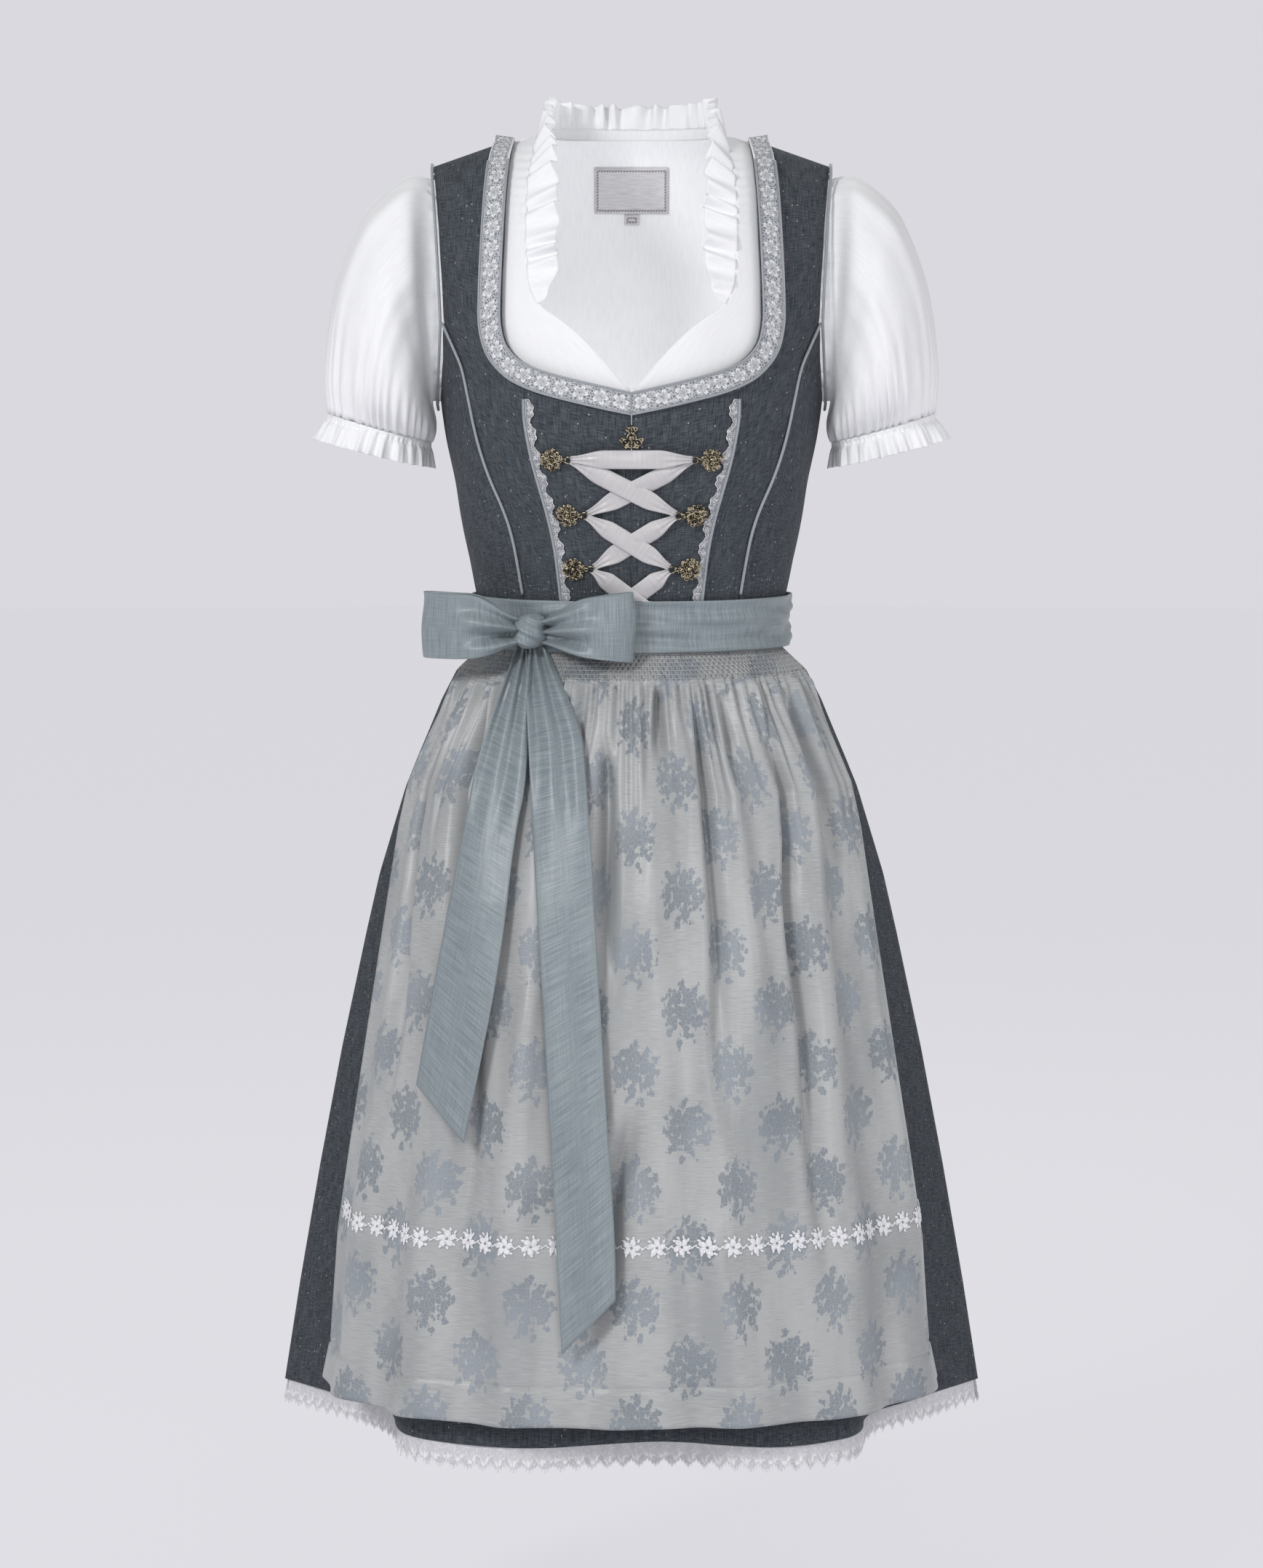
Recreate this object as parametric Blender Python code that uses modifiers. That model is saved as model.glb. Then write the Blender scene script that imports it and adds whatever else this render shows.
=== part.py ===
"""A dirndl outfit filled out with no wearer in it: dress, blouse and apron with its tie.

Metres, +Z up, the front faces -Y. The origin is on the shoulder level, midway between the
shoulders, where the wearer carries the garment. Every piece of cloth is a wall on a grid of
points; the grids lie on a few named surfaces (torso, skirt, apron) worked out from the tables.
"""

import math

import bmesh
import bpy
import numpy as np
from mathutils import Matrix

# Walls and gaps
CLOTH = 0.0012
TRIM = 0.001
SEAM_GAP = 0.0004
LIFT = 0.0005

# Heights of the garment's main levels
WAIST_SEAM = -0.392
SASH_TOP = -0.372
SASH_BOTTOM = -0.414
SKIRT_HEM = -1.0395
LACE_HEM = -1.0595

# How far the layers at the waist lie outside the torso surface
BLOUSE_INSIDE = -0.0045
APRON_OUT = 0.0034
SASH_OUT = 0.0064
SASH_FLARE = 0.0022

# Torso: height, half width, front depth, back depth
TORSO = np.array([
    (-0.415, 0.1244, 0.1037, 0.0815),
    (-0.392, 0.1244, 0.1037, 0.0815),
    (-0.363, 0.1306, 0.1105, 0.086),
    (-0.339, 0.1357, 0.117, 0.089),
    (-0.314, 0.1401, 0.123, 0.091),
    (-0.290, 0.1449, 0.129, 0.093),
    (-0.266, 0.1493, 0.135, 0.096),
    (-0.242, 0.1534, 0.139, 0.099),
    (-0.220, 0.1570, 0.141, 0.102),
    (-0.160, 0.1650, 0.140, 0.108),
    (-0.100, 0.1700, 0.138, 0.108),
    (0.040, 0.1720, 0.138, 0.105),
])

# Shoulder line: height at its inner end, that end's distance from the middle, and its slope
SHOULDER_HEIGHT = 0.003
SHOULDER_INNER = 0.097
SHOULDER_SLOPE = -0.348
FRONT_ROUNDING = 0.16
BACK_ROUNDING = 0.12

# Seams of the bodice, from the waist up: distance from the middle, height
LACED_SEAM = [
    (0.0552, -0.392), (0.0560, -0.3784), (0.0583, -0.3569), (0.0608, -0.3337), (0.0661, -0.3063),
    (0.0729, -0.2826), (0.0798, -0.2580), (0.0838, -0.2371), (0.0862, -0.2208), (0.0857, -0.1860),
]
CURVED_SEAM = [
    (0.0846, -0.392), (0.0866, -0.3753), (0.0912, -0.3460), (0.0958, -0.3203), (0.1027, -0.2989),
    (0.1151, -0.2719), (0.1245, -0.2426), (0.1311, -0.2103), (0.1363, -0.1840), (0.1439, -0.1676),
    (0.1530, -0.1487),
]
NECK_EDGE = [
    (0.0, -0.2034), (0.0377, -0.1949), (0.0686, -0.1872), (0.0857, -0.1800), (0.0935, -0.1738),
    (0.1010, -0.1640), (0.1040, -0.1500), (0.1047, -0.1393), (0.1028, -0.0843), (0.1001, -0.0247),
    (0.0960, 0.0033),
]
ARMHOLE_FRONT = [(0.1530, -0.1487), (0.1546, -0.1115), (0.1585, -0.0592), (0.1627, -0.0199)]
ARMHOLE_UNDER = [(0.1530, -0.1487), (0.1546, -0.1780), (0.1562, -0.2010), (0.1580, -0.2197)]
NECK_BAND_WIDTH = 0.0170
BACK_NECK_DROP = -0.045

COLLECTION = bpy.data.collections.new("dirndl")


def clear_scene():
    """Removes what the scene holds and links the garment's collection."""
    for obj in list(bpy.data.objects):
        bpy.data.objects.remove(obj, do_unlink=True)
    bpy.context.scene.collection.children.link(COLLECTION)


def material(name, colour, roughness=0.8, metallic=0.0):
    """A Principled material of one colour, made once."""
    found = bpy.data.materials.get(name)
    if found:
        return found
    made = bpy.data.materials.new(name)
    made.use_nodes = True
    shader = made.node_tree.nodes["Principled BSDF"]
    shader.inputs["Base Color"].default_value = (*colour, 1.0)
    shader.inputs["Roughness"].default_value = roughness
    shader.inputs["Metallic"].default_value = metallic
    return made


FINISHES = {
    "chambray": ((0.055, 0.070, 0.088), 0.85, 0.0),
    "blouse_cotton": ((0.86, 0.87, 0.89), 0.8, 0.0),
    "lace": ((0.80, 0.80, 0.80), 0.8, 0.0),
    "grey_cord": ((0.30, 0.32, 0.35), 0.6, 0.0),
    "satin_ribbon": ((0.72, 0.68, 0.68), 0.35, 0.0),
    "sash_cloth": ((0.17, 0.23, 0.25), 0.5, 0.0),
    "jacquard": ((0.42, 0.42, 0.45), 0.4, 0.0),
    "antique_metal": ((0.45, 0.40, 0.30), 0.35, 1.0),
    "label_weave": ((0.75, 0.76, 0.78), 0.6, 0.0),
}


def add_mesh(name, mesh, finish):
    """Puts a mesh in the garment's collection as one named piece."""
    colour, roughness, metallic = FINISHES[finish]
    mesh.materials.append(material(finish, colour, roughness, metallic))
    obj = bpy.data.objects.new(name, mesh)
    COLLECTION.objects.link(obj)
    return obj


def grid_mesh(name, points, closed=False):
    """An open surface on rows of points; a closed one joins each row's ends."""
    rows, columns = points.shape[:2]
    mesh = bpy.data.meshes.new(name)
    build = bmesh.new()
    verts = [[build.verts.new(points[r, c]) for c in range(columns)] for r in range(rows)]
    steps = columns if closed else columns - 1
    for r in range(rows - 1):
        for c in range(steps):
            d = (c + 1) % columns
            build.faces.new((verts[r][c], verts[r][d], verts[r + 1][d], verts[r + 1][c]))
    build.to_mesh(mesh)
    build.free()
    mesh.shade_smooth()
    return mesh


def cloth(name, points, finish, wall=CLOTH, closed=False):
    """A wall of cloth whose grid is its outer side."""
    obj = add_mesh(name, grid_mesh(name, points, closed), finish)
    solidify = obj.modifiers.new("wall", "SOLIDIFY")
    solidify.thickness = wall
    solidify.offset = -1.0
    solidify.use_even_offset = True
    solidify.use_quality_normals = True
    return obj


def mirrored(points):
    """The same grid on the other side of the middle, its columns turned so it still faces out."""
    flipped = points[:, ::-1].copy()
    flipped[..., 0] *= -1.0
    return flipped


def along(curve, count, ease=1.0):
    """Reads a polyline at equal steps of its length; ease above 1 crowds the points at its end."""
    curve = np.asarray(curve, float)
    steps = np.linalg.norm(np.diff(curve, axis=0), axis=1)
    length = np.concatenate([[0.0], np.cumsum(steps)])
    part = 1.0 - (1.0 - np.linspace(0.0, 1.0, count)) ** ease
    return np.stack([np.interp(part * length[-1], length, column) for column in curve.T], axis=1)


def softened(curve, rounds=2):
    """Rounds a polyline's corners by cutting them, keeping its ends."""
    curve = np.asarray(curve, float)
    for _ in range(rounds):
        near = curve[:-1] * 0.75 + curve[1:] * 0.25
        far = curve[:-1] * 0.25 + curve[1:] * 0.75
        inner = np.empty((2 * len(near), curve.shape[1]))
        inner[0::2] = near
        inner[1::2] = far
        curve = np.concatenate([curve[:1], inner[1:-1], curve[-1:]])
    return curve


def patch(bottom, top, left, right, columns, rows, ease=1.0):
    """A grid between four edge curves; rows run from the bottom edge to the top edge.

    A side edge that already has a point for each row keeps its points, so that two panels
    that share a seam have the same points along it.
    """
    b, t = along(bottom, columns), along(top, columns)
    l, r = (edge if len(edge) == rows and isinstance(edge, np.ndarray) else along(edge, rows, ease)
            for edge in (left, right))
    v = (1.0 - (1.0 - np.linspace(0.0, 1.0, rows)) ** ease)[:, None, None]
    u = np.linspace(0.0, 1.0, columns)[None, :, None]
    sides = (1 - u) * l[:, None] + u * r[:, None]
    ends = (1 - v) * b[None] + v * t[None]
    corners = (1 - v) * ((1 - u) * b[0] + u * b[-1]) + v * ((1 - u) * t[0] + u * t[-1])
    return sides + ends - corners


def outward_normals(points, closed=False):
    """Unit normals of a grid whose rows run up and whose columns run to its right."""
    across = np.gradient(points, axis=1)
    if closed:
        across = np.roll(points, -1, axis=1) - np.roll(points, 1, axis=1)
    upward = np.gradient(points, axis=0)
    normals = np.cross(across, upward)
    return normals / np.maximum(np.linalg.norm(normals, axis=2, keepdims=True), 1e-9)


def moved_out(points, distance, closed=False):
    """The same grid, moved along its normals."""
    return points + outward_normals(points, closed) * distance


def smooth(value):
    """An even ramp from 0 to 1."""
    value = np.clip(value, 0.0, 1.0)
    return value * value * (3.0 - 2.0 * value)


def torso_size(z):
    """Half width, front depth and back depth at a height."""
    return [np.interp(z, TORSO[:, 0], TORSO[:, k]) for k in (1, 2, 3)]


def shoulder_height(x):
    """Height of the shoulder line at a distance from the middle."""
    return SHOULDER_HEIGHT + SHOULDER_SLOPE * (np.abs(x) - SHOULDER_INNER)


def torso_point(x, z, front=True, out=0.0):
    """The torso surface at a distance from the middle and a height, moved out evenly."""
    half, depth_front, depth_back = torso_size(z)
    depth, rounding = (depth_front, FRONT_ROUNDING) if front else (depth_back, BACK_ROUNDING)
    below = np.clip((shoulder_height(x) - z) / rounding, 0.0, 1.0)
    rise = np.sqrt(np.clip(1.0 - (1.0 - below) ** 2, 0.0, 1.0))
    sine = np.clip(x / half, -1.0, 1.0)
    cosine = np.sqrt(np.clip(1.0 - sine ** 2, 0.0, 1.0))
    y = depth * cosine * rise
    level = np.stack([sine * half, (-1 if front else 1) * y, z], axis=-1)
    facing = np.stack([sine * rise, (-1 if front else 1) * cosine * rise,
                       np.sqrt(np.clip(1.0 - rise ** 2, 0.0, 1.0))], axis=-1)
    return level + facing / np.maximum(np.linalg.norm(facing, axis=-1, keepdims=True), 1e-9) * out


def on_torso(grid, front=True, out=0.0):
    """Lays a grid of distances and heights on the torso; shoulder edges keep half a seam gap."""
    points = torso_point(grid[..., 0], grid[..., 1], front, out)
    gap = SEAM_GAP * (-1 if front else 1)
    points[..., 1] = np.minimum(points[..., 1], gap) if front else np.maximum(points[..., 1], gap)
    return points


# Lacing: rosette centre and eye centre of each hook, from the top; distance from the middle, height
HOOKS = {
    "top": ((0.0638, -0.2583), (0.0492, -0.2565)),
    "middle": ((0.0512, -0.3028), (0.0366, -0.3016)),
    "bottom": ((0.0462, -0.3467), (0.0316, -0.3453)),
}
HOOK_OUT = 0.0022
HOOK_WALL = 0.0016
ROSETTE_RADIUS = 0.0100
ROSETTE_PETALS = 6
EYE_RADIUS = 0.0034
EYE_HOLE = 0.0019
CLASP_CENTRE = (0.0, -0.2392)
CLASP_SIZE = 0.0105
RIBBON_WIDTH = 0.0150
RIBBON_END = 0.0050
RIBBON_UNDER = 0.0030
RIBBON_OVER = 0.0046
RIBBON_TOP = 0.0064
SEAM_ROWS = 9
STRAP_ROWS = 9
BODICE_BACK_COLUMNS = 13
LACE_WIDTH = 0.0075
LACE_SCALLOPS = 9
PIPING_RADIUS = 0.0012
TRIM_LOW = -0.3765


def part_of(curve, low, high):
    """The stretch of a curve between two heights, its ends cut level."""
    curve = np.asarray(softened(curve), float)
    inside = [tuple(p) for p in curve if low < p[1] < high]
    ends = [(float(np.interp(z, curve[:, 1], curve[:, 0])), z) for z in (low, high)]
    return [ends[0]] + inside + [ends[1]]


def pair(name, points, finish, **options):
    """One piece on the garment's left (picture right) and its mirror image."""
    cloth(name + "_left", points, finish, **options)
    cloth(name + "_right", mirrored(points), finish, **options)


def build_bodice():
    """The dress body: two centre fronts, two strap fronts, two sides and the back."""
    gap = np.array((SEAM_GAP / 2, 0.0))
    neck = softened(NECK_EDGE)
    split = int(np.argmin(np.abs(neck[:, 0] - LACED_SEAM[-1][0]) + (neck[:, 1] > -0.17)))
    laced = along(part_of(LACED_SEAM, WAIST_SEAM, neck[split, 1]), SEAM_ROWS)
    laced[-1, 0] = neck[split, 0]
    curved = along(softened(CURVED_SEAM), SEAM_ROWS)
    centre = np.column_stack([np.full(SEAM_ROWS, gap[0]),
                              np.linspace(WAIST_SEAM, NECK_EDGE[0][1], SEAM_ROWS)])
    grid = patch([centre[0], laced[0] - gap], neck[:split + 1] + gap, centre, laced - gap,
                 6, SEAM_ROWS)
    pair("centre_front", on_torso(grid), "chambray")

    rest = along(neck[split:], STRAP_ROWS, 1.9)
    arm = along(softened(ARMHOLE_FRONT), STRAP_ROWS, 1.9)
    inner = np.concatenate([laced + gap, rest[1:] + gap])
    outer = np.concatenate([curved - gap, arm[1:]])
    grid = patch([inner[0], outer[0]], [inner[-1], outer[-1]], inner, outer, 5, len(inner))
    pair("strap_front", on_torso(grid), "chambray")

    side = [(float(torso_size(z)[0]), z)
            for z in np.linspace(WAIST_SEAM, ARMHOLE_UNDER[-1][1], SEAM_ROWS)]
    beside = curved + 3 * gap
    under = np.array(ARMHOLE_UNDER) + 3 * gap
    turned = patch([to_angle(beside[0]), to_angle(side[0])], [to_angle(p) for p in under],
                   np.array([to_angle(p) for p in beside]), np.array([to_angle(p) for p in side]),
                   5, SEAM_ROWS)
    pair("side_front", on_torso(from_angle(turned)), "chambray")
    cloth("back_panel", back_grid(0.0, BODICE_BACK_COLUMNS, 12), "chambray")


def to_angle(point):
    """A distance and height as an angle round the torso and a height."""
    x, z = point
    half = torso_size(z)[0]
    return (math.asin(min(1.0, x / half)) * half, z)


def from_angle(grid):
    """Turns a grid of arc lengths and heights back into distances and heights."""
    half = torso_size(grid[..., 1])[0]
    result = grid.copy()
    result[..., 0] = np.sin(np.clip(grid[..., 0] / half, -math.pi / 2, math.pi / 2)) * half
    return result


def back_grid(out, columns, rows, low=WAIST_SEAM, drop=BACK_NECK_DROP, inner=0.0960, trim=0.0,
              square=2.6):
    """The back from side seam to side seam, up to both shoulders, with a round neckline."""
    side_heights = np.linspace(low, -0.2197, 8)
    side = [(float(torso_size(z)[0]), z) for z in side_heights]
    arm = [(x - trim, z) for x, z in [(0.1562, -0.185), (0.1530, -0.1487), (0.1546, -0.1115),
                                      (0.1585, -0.0592), (0.1627, -0.0199)]]
    edge = [to_angle(p) for p in side + arm]
    top_outer = to_angle(arm[-1])[0]
    top = []
    for x in np.linspace(-top_outer, top_outer, columns):
        flat = math.sin(x / torso_size(0.0)[0]) * torso_size(0.0)[0]
        if abs(flat) > inner:
            top.append((x, shoulder_height(flat)))
        else:
            turn = 1.0 - (abs(flat) / inner) ** square
            top.append((x, shoulder_height(inner) + (drop - shoulder_height(inner)) * turn ** 0.5))
    left = [(-x, z) for x, z in edge]
    bottom = [left[0], edge[0]]
    grid = patch(bottom, top, left, edge, columns, rows, 1.9)
    points = on_torso(from_angle(grid), front=False, out=out)
    return points[:, ::-1]


def tube(name, path, radius, finish, closed=False):
    """A cord of piping: a curve with a round bevel and filled caps."""
    curve = bpy.data.curves.new(name, "CURVE")
    curve.dimensions = "3D"
    curve.bevel_depth = radius
    curve.bevel_resolution = 1
    curve.use_fill_caps = True
    spline = curve.splines.new("POLY")
    spline.points.add(len(path) - 1)
    for point, place in zip(spline.points, path):
        point.co = (*[float(v) for v in place], 1.0)
    spline.use_cyclic_u = closed
    colour, roughness, metallic = FINISHES[finish]
    curve.materials.append(material(finish, colour, roughness, metallic))
    obj = bpy.data.objects.new(name, curve)
    COLLECTION.objects.link(obj)
    return obj


def curve_on_torso(curve, count, out, front=True):
    """A curve of distances and heights as points at equal steps on the torso."""
    flat = along(softened(curve), count)
    return torso_point(flat[:, 0], flat[:, 1], front, out)


def both_sides(name, path, radius, finish, closed=False):
    """A cord on each side of the middle."""
    tube(name + "_left", path, radius, finish, closed)
    tube(name + "_right", path * (-1.0, 1.0, 1.0), radius, finish, closed)


def build_bodice_trims():
    """The neck band, the corded and lace-edged seams and the piping."""
    outward = PIPING_RADIUS + LIFT
    neck = softened(NECK_EDGE, 3)
    heading = np.gradient(neck, axis=0)
    heading /= np.linalg.norm(heading, axis=1, keepdims=True)
    sideways = np.stack([heading[:, 1], -heading[:, 0]], axis=1)
    sideways[0] = (0.0, -1.0)
    outer = neck + sideways * NECK_BAND_WIDTH
    inner, outer = along(neck, 24, 1.9), along(outer, 24, 1.9)
    across = np.linspace(0.0, 1.0, 3)[:, None, None]
    band = outer[None] * (1 - across) + inner[None] * across
    band[:, 0, 0] = SEAM_GAP
    points = on_torso(band, out=3 * LIFT + TRIM)
    pair("neck_band", points, "lace", wall=TRIM)

    laced = part_of(LACED_SEAM, TRIM_LOW, -0.2085)
    both_sides("laced_seam_piping", curve_on_torso(laced, 11, outward), PIPING_RADIUS, "grey_cord")
    steps = np.linspace(0.0, 1.0, 3 * LACE_SCALLOPS + 1)
    seam = along(laced, len(steps)) - (PIPING_RADIUS + LIFT, 0.0)
    reach = LACE_WIDTH * (0.55 + 0.45 * np.abs(np.sin(steps * LACE_SCALLOPS * math.pi)))
    edge = seam - np.stack([reach, np.zeros_like(reach)], axis=1)
    strip = np.stack([edge, seam], axis=1)
    pair("laced_seam_lace", on_torso(strip, out=LIFT + TRIM), "lace", wall=TRIM)

    curved = [p for p in softened(CURVED_SEAM, 1) if p[1] > TRIM_LOW]
    both_sides("curved_seam_piping", curve_on_torso(curved[:-1], 12, outward),
               PIPING_RADIUS, "grey_cord")
    front = [torso_point(x, z, True, outward) for x, z in along(softened(ARMHOLE_FRONT), 7)]
    under = [torso_point(x, z, True, outward) for x, z in along(softened(ARMHOLE_UNDER), 4)]
    back_edge = [(0.1580, -0.2197), (0.1562, -0.185), (0.1530, -0.1487), (0.1546, -0.1115),
                 (0.1585, -0.0592), (0.1627, -0.0199)]
    back = [torso_point(x, z, False, outward) for x, z in along(softened(back_edge), 9)]
    loop = np.array(under[::-1][:-1] + front + back[::-1][1:-1])
    out_of_hole = np.array((outward, 0.0, 0.0))
    both_sides("armhole_piping", loop + out_of_hole, PIPING_RADIUS, "grey_cord", closed=True)


def flat_plate(name, outlines, thickness, finish):
    """A flat metal piece: a 2D curve with its holes, given half its thickness each way."""
    curve = bpy.data.curves.new(name, "CURVE")
    curve.dimensions = "2D"
    curve.fill_mode = "BOTH"
    curve.extrude = thickness / 2
    for outline in outlines:
        spline = curve.splines.new("POLY")
        spline.points.add(len(outline) - 1)
        for point, (x, y) in zip(spline.points, outline):
            point.co = (float(x), float(y), 0.0, 1.0)
        spline.use_cyclic_u = True
    colour, roughness, metallic = FINISHES[finish]
    curve.materials.append(material(finish, colour, roughness, metallic))
    obj = bpy.data.objects.new(name, curve)
    COLLECTION.objects.link(obj)
    return obj


def ring(centre, radius, count, start=0.0, sweep=2 * math.pi):
    """Points round an arc; a full turn leaves out its last point."""
    full = abs(sweep) > 1.99 * math.pi
    return [(centre + radius * math.cos(start + sweep * k / (count if full else count - 1)),
             radius * math.sin(start + sweep * k / (count if full else count - 1)))
            for k in range(count)]


def hook_outline(reach):
    """A petalled rosette with a neck to its eye at +X, the middle between them at the origin."""
    neck = math.asin(0.0018 / EYE_RADIUS)
    petals = []
    steps = ROSETTE_PETALS * 3
    for k in range(1, steps):
        angle = 2 * math.pi * k / steps
        lobe = 0.86 + 0.14 * abs(math.sin(angle * ROSETTE_PETALS / 2))
        petals.append((ROSETTE_RADIUS * lobe * math.cos(angle) - reach / 2,
                       ROSETTE_RADIUS * lobe * math.sin(angle)))
    eye = ring(reach / 2, EYE_RADIUS, 7, math.pi + neck, 2 * math.pi - 2 * neck)
    return [petals + eye, ring(reach / 2, EYE_HOLE, 6)]


def stand_on_torso(obj, x, z, along_x, out):
    """Turns a flat piece to face out of the torso at a place, its +X along the surface."""
    place = torso_point(np.array(x), np.array(z), True, out)
    step = 0.003
    side = torso_point(np.array(x + step * along_x), np.array(z), True, out) - place
    up = torso_point(np.array(x), np.array(z + step), True, out) - place
    side /= np.linalg.norm(side)
    facing = np.cross(side, up) * along_x
    facing /= np.linalg.norm(facing)
    up = np.cross(facing, side)
    frame = np.eye(4)
    frame[:3, 0], frame[:3, 1], frame[:3, 2], frame[:3, 3] = side, up, facing, place
    obj.matrix_world = Matrix(frame.tolist())


def build_lacing():
    """Six hooks, the centre clasp and the ribbon laced between the hooks."""
    for level, (rosette, eye) in HOOKS.items():
        reach = math.dist(rosette, eye)
        for side, sign in (("left", 1), ("right", -1)):
            plate = flat_plate(f"hook_{level}_{side}", hook_outline(reach), HOOK_WALL,
                               "antique_metal")
            middle = (np.array(rosette) + eye) / 2
            stand_on_torso(plate, sign * middle[0], middle[1], -sign, HOOK_OUT + HOOK_WALL / 2)
    lobes = []
    for k in range(18):
        angle = math.pi / 2 + 2 * math.pi * k / 18
        lobe = 0.82 + 0.18 * abs(math.cos(1.5 * (angle + math.pi / 2)))
        lobes.append((CLASP_SIZE * lobe * math.cos(angle), CLASP_SIZE * lobe * math.sin(angle)))
    clasp = flat_plate("centre_clasp", [lobes], HOOK_WALL, "antique_metal")
    stand_on_torso(clasp, *CLASP_CENTRE, 1, LIFT + HOOK_WALL / 2)

    eyes = {level: np.array(eye) for level, (_, eye) in HOOKS.items()}
    flip = np.array((-1.0, 1.0))
    under_sash = np.array((-0.011, -0.3790))
    strand("ribbon_top_bar", eyes["top"] * flip, eyes["top"], RIBBON_TOP)
    levels = ["top", "middle", "bottom"]
    for number, (high, low) in enumerate(zip(levels, levels[1:]), 1):
        strand(f"ribbon_over_{number}", eyes[high] * flip, eyes[low], RIBBON_OVER)
        strand(f"ribbon_under_{number}", eyes[high], eyes[low] * flip, RIBBON_UNDER)
    strand("ribbon_over_3", eyes["bottom"] * flip, under_sash * flip, RIBBON_OVER, False)
    strand("ribbon_under_3", eyes["bottom"], under_sash, RIBBON_UNDER, False)


def strand(name, start, end, out, both_ends=True):
    """A flat stretch of ribbon between two eyes, gathered narrow where it goes through them."""
    heading = (end - start) / np.linalg.norm(end - start)
    clear = EYE_RADIUS + LIFT
    start = start + heading * clear
    end = end - heading * (clear if both_ends else 0.0)
    t = np.linspace(0.0, 1.0, 7)
    open_end = smooth(t * 4.0)
    if both_ends:
        open_end = open_end * smooth((1.0 - t) * 4.0)
    width = RIBBON_END + (RIBBON_WIDTH - RIBBON_END) * open_end
    middle = start + (end - start) * t[:, None]
    sideways = np.array((-heading[1], heading[0]))
    across = np.array((-0.5, 0.5))
    grid = middle[None] + sideways * (width[None, :, None] * across[:, None, None])
    grid[..., 1] = np.maximum(grid[..., 1], SASH_TOP + SEAM_GAP)
    cloth(name, on_torso(grid, out=out + TRIM), "satin_ribbon", wall=TRIM)


# Blouse: neckline of one half from the middle of the V up to the shoulder; distance, height
BLOUSE_HEM = -0.262
SWEETHEART = [
    (0.0004, -0.1999), (0.0052, -0.1976), (0.0180, -0.1823), (0.0308, -0.1687), (0.0436, -0.1560),
    (0.0565, -0.1462), (0.0765, -0.1334),
]
FRILL_SEAM = [(0.0845, -0.1183), (0.0863, -0.0800), (0.0863, -0.0493), (0.0835, -0.0200),
              (0.0762, 0.0102)]
BLOUSE_ARMHOLE = [(0.1560, -0.1850), (0.1545, -0.1487), (0.1560, -0.1115), (0.1580, -0.0592),
                  (0.1602, -0.0190)]
NECK_HALF_WIDTH = 0.0715
NECK_DEPTH = 0.0720
NECK_BAND_START = 0.26
NECK_BAND_LOW = 0.0036
NECK_BAND_HIGH = 0.0124

# Neck frill down the front: seam height, then how far its free edge lies inwards, upwards and
# forwards of the seam
FRILL_FRONT = np.array([
    (-0.1340, 0.0030, 0.0030, 0.0010),
    (-0.1260, 0.0150, 0.0060, 0.0030),
    (-0.1150, 0.0230, 0.0050, 0.0040),
    (-0.0800, 0.0264, 0.0, 0.0060),
    (-0.0450, 0.0256, 0.0010, 0.0080),
    (-0.0190, 0.0200, 0.0110, 0.0120),
    (0.0100, 0.0080, 0.0200, 0.0100),
])
FRILL_WAVES = 36
FRILL_SWAY = 0.0028

# Puff sleeve, a ring on each row: upper and lower point (distance, height), front and back depth,
# and how far the ring's sides sink towards the body
SLEEVE = np.array([
    (0.1640, -0.0320, 0.1600, -0.2100, 0.038, 0.030, 0.0050),
    (0.1695, -0.0290, 0.1650, -0.2115, 0.043, 0.040, 0.0),
    (0.1850, -0.0285, 0.1655, -0.2160, 0.066, 0.059, 0.0),
    (0.2054, -0.0425, 0.1645, -0.2215, 0.076, 0.070, 0.0),
    (0.2250, -0.0670, 0.1630, -0.2265, 0.083, 0.078, 0.0),
    (0.2455, -0.1220, 0.1621, -0.2330, 0.084, 0.080, 0.0),
    (0.2534, -0.1850, 0.1630, -0.2395, 0.071, 0.069, 0.0),
    (0.2511, -0.2215, 0.1661, -0.2456, 0.050, 0.048, 0.0),
])
CUFF = np.array([
    (0.2513, -0.2222, 0.1661, -0.2463, 0.050, 0.048, 0.0),
    (0.2612, -0.2438, 0.1660, -0.2673, 0.056, 0.054, 0.0),
])
SLEEVE_GATHERS = 12
CUFF_WAVES = 20

# Skirt: height and half width at the sides
SKIRT_SIDES = np.array([
    (-1.0595, 0.2965), (-1.0395, 0.2942), (-0.955, 0.2807), (-0.855, 0.2631), (-0.755, 0.2439),
    (-0.656, 0.2225), (-0.607, 0.2112), (-0.558, 0.1963), (-0.5335, 0.1888), (-0.509, 0.1789),
    (-0.4846, 0.1685), (-0.460, 0.1583), (-0.4358, 0.1458), (-0.4160, 0.1250), (-0.3925, 0.1244),
])
# The hem's folds across the front, from the picture's left: distance, depth
HEM_FRONT = [
    (-0.2942, 0.0), (-0.219, -0.083), (-0.194, -0.120), (-0.1905, -0.172), (-0.175, -0.202),
    (-0.137, -0.222), (-0.082, -0.238), (-0.027, -0.222), (0.029, -0.2085), (0.083, -0.229),
    (0.1195, -0.233), (0.157, -0.215), (0.186, -0.190), (0.193, -0.120), (0.240, -0.068),
    (0.2942, 0.0),
]
SKIRT_BACK_DEPTH = 0.205
SKIRT_BACK_FOLDS = 8
SKIRT_FOLD_SWAY = 0.010
FRONT_COLUMNS = 25
BACK_COLUMNS = 33
LACE_TOP = -1.030
LACE_INSIDE = 0.0020
LACE_POINT = 0.004
LACE_REACH = 0.88

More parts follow.
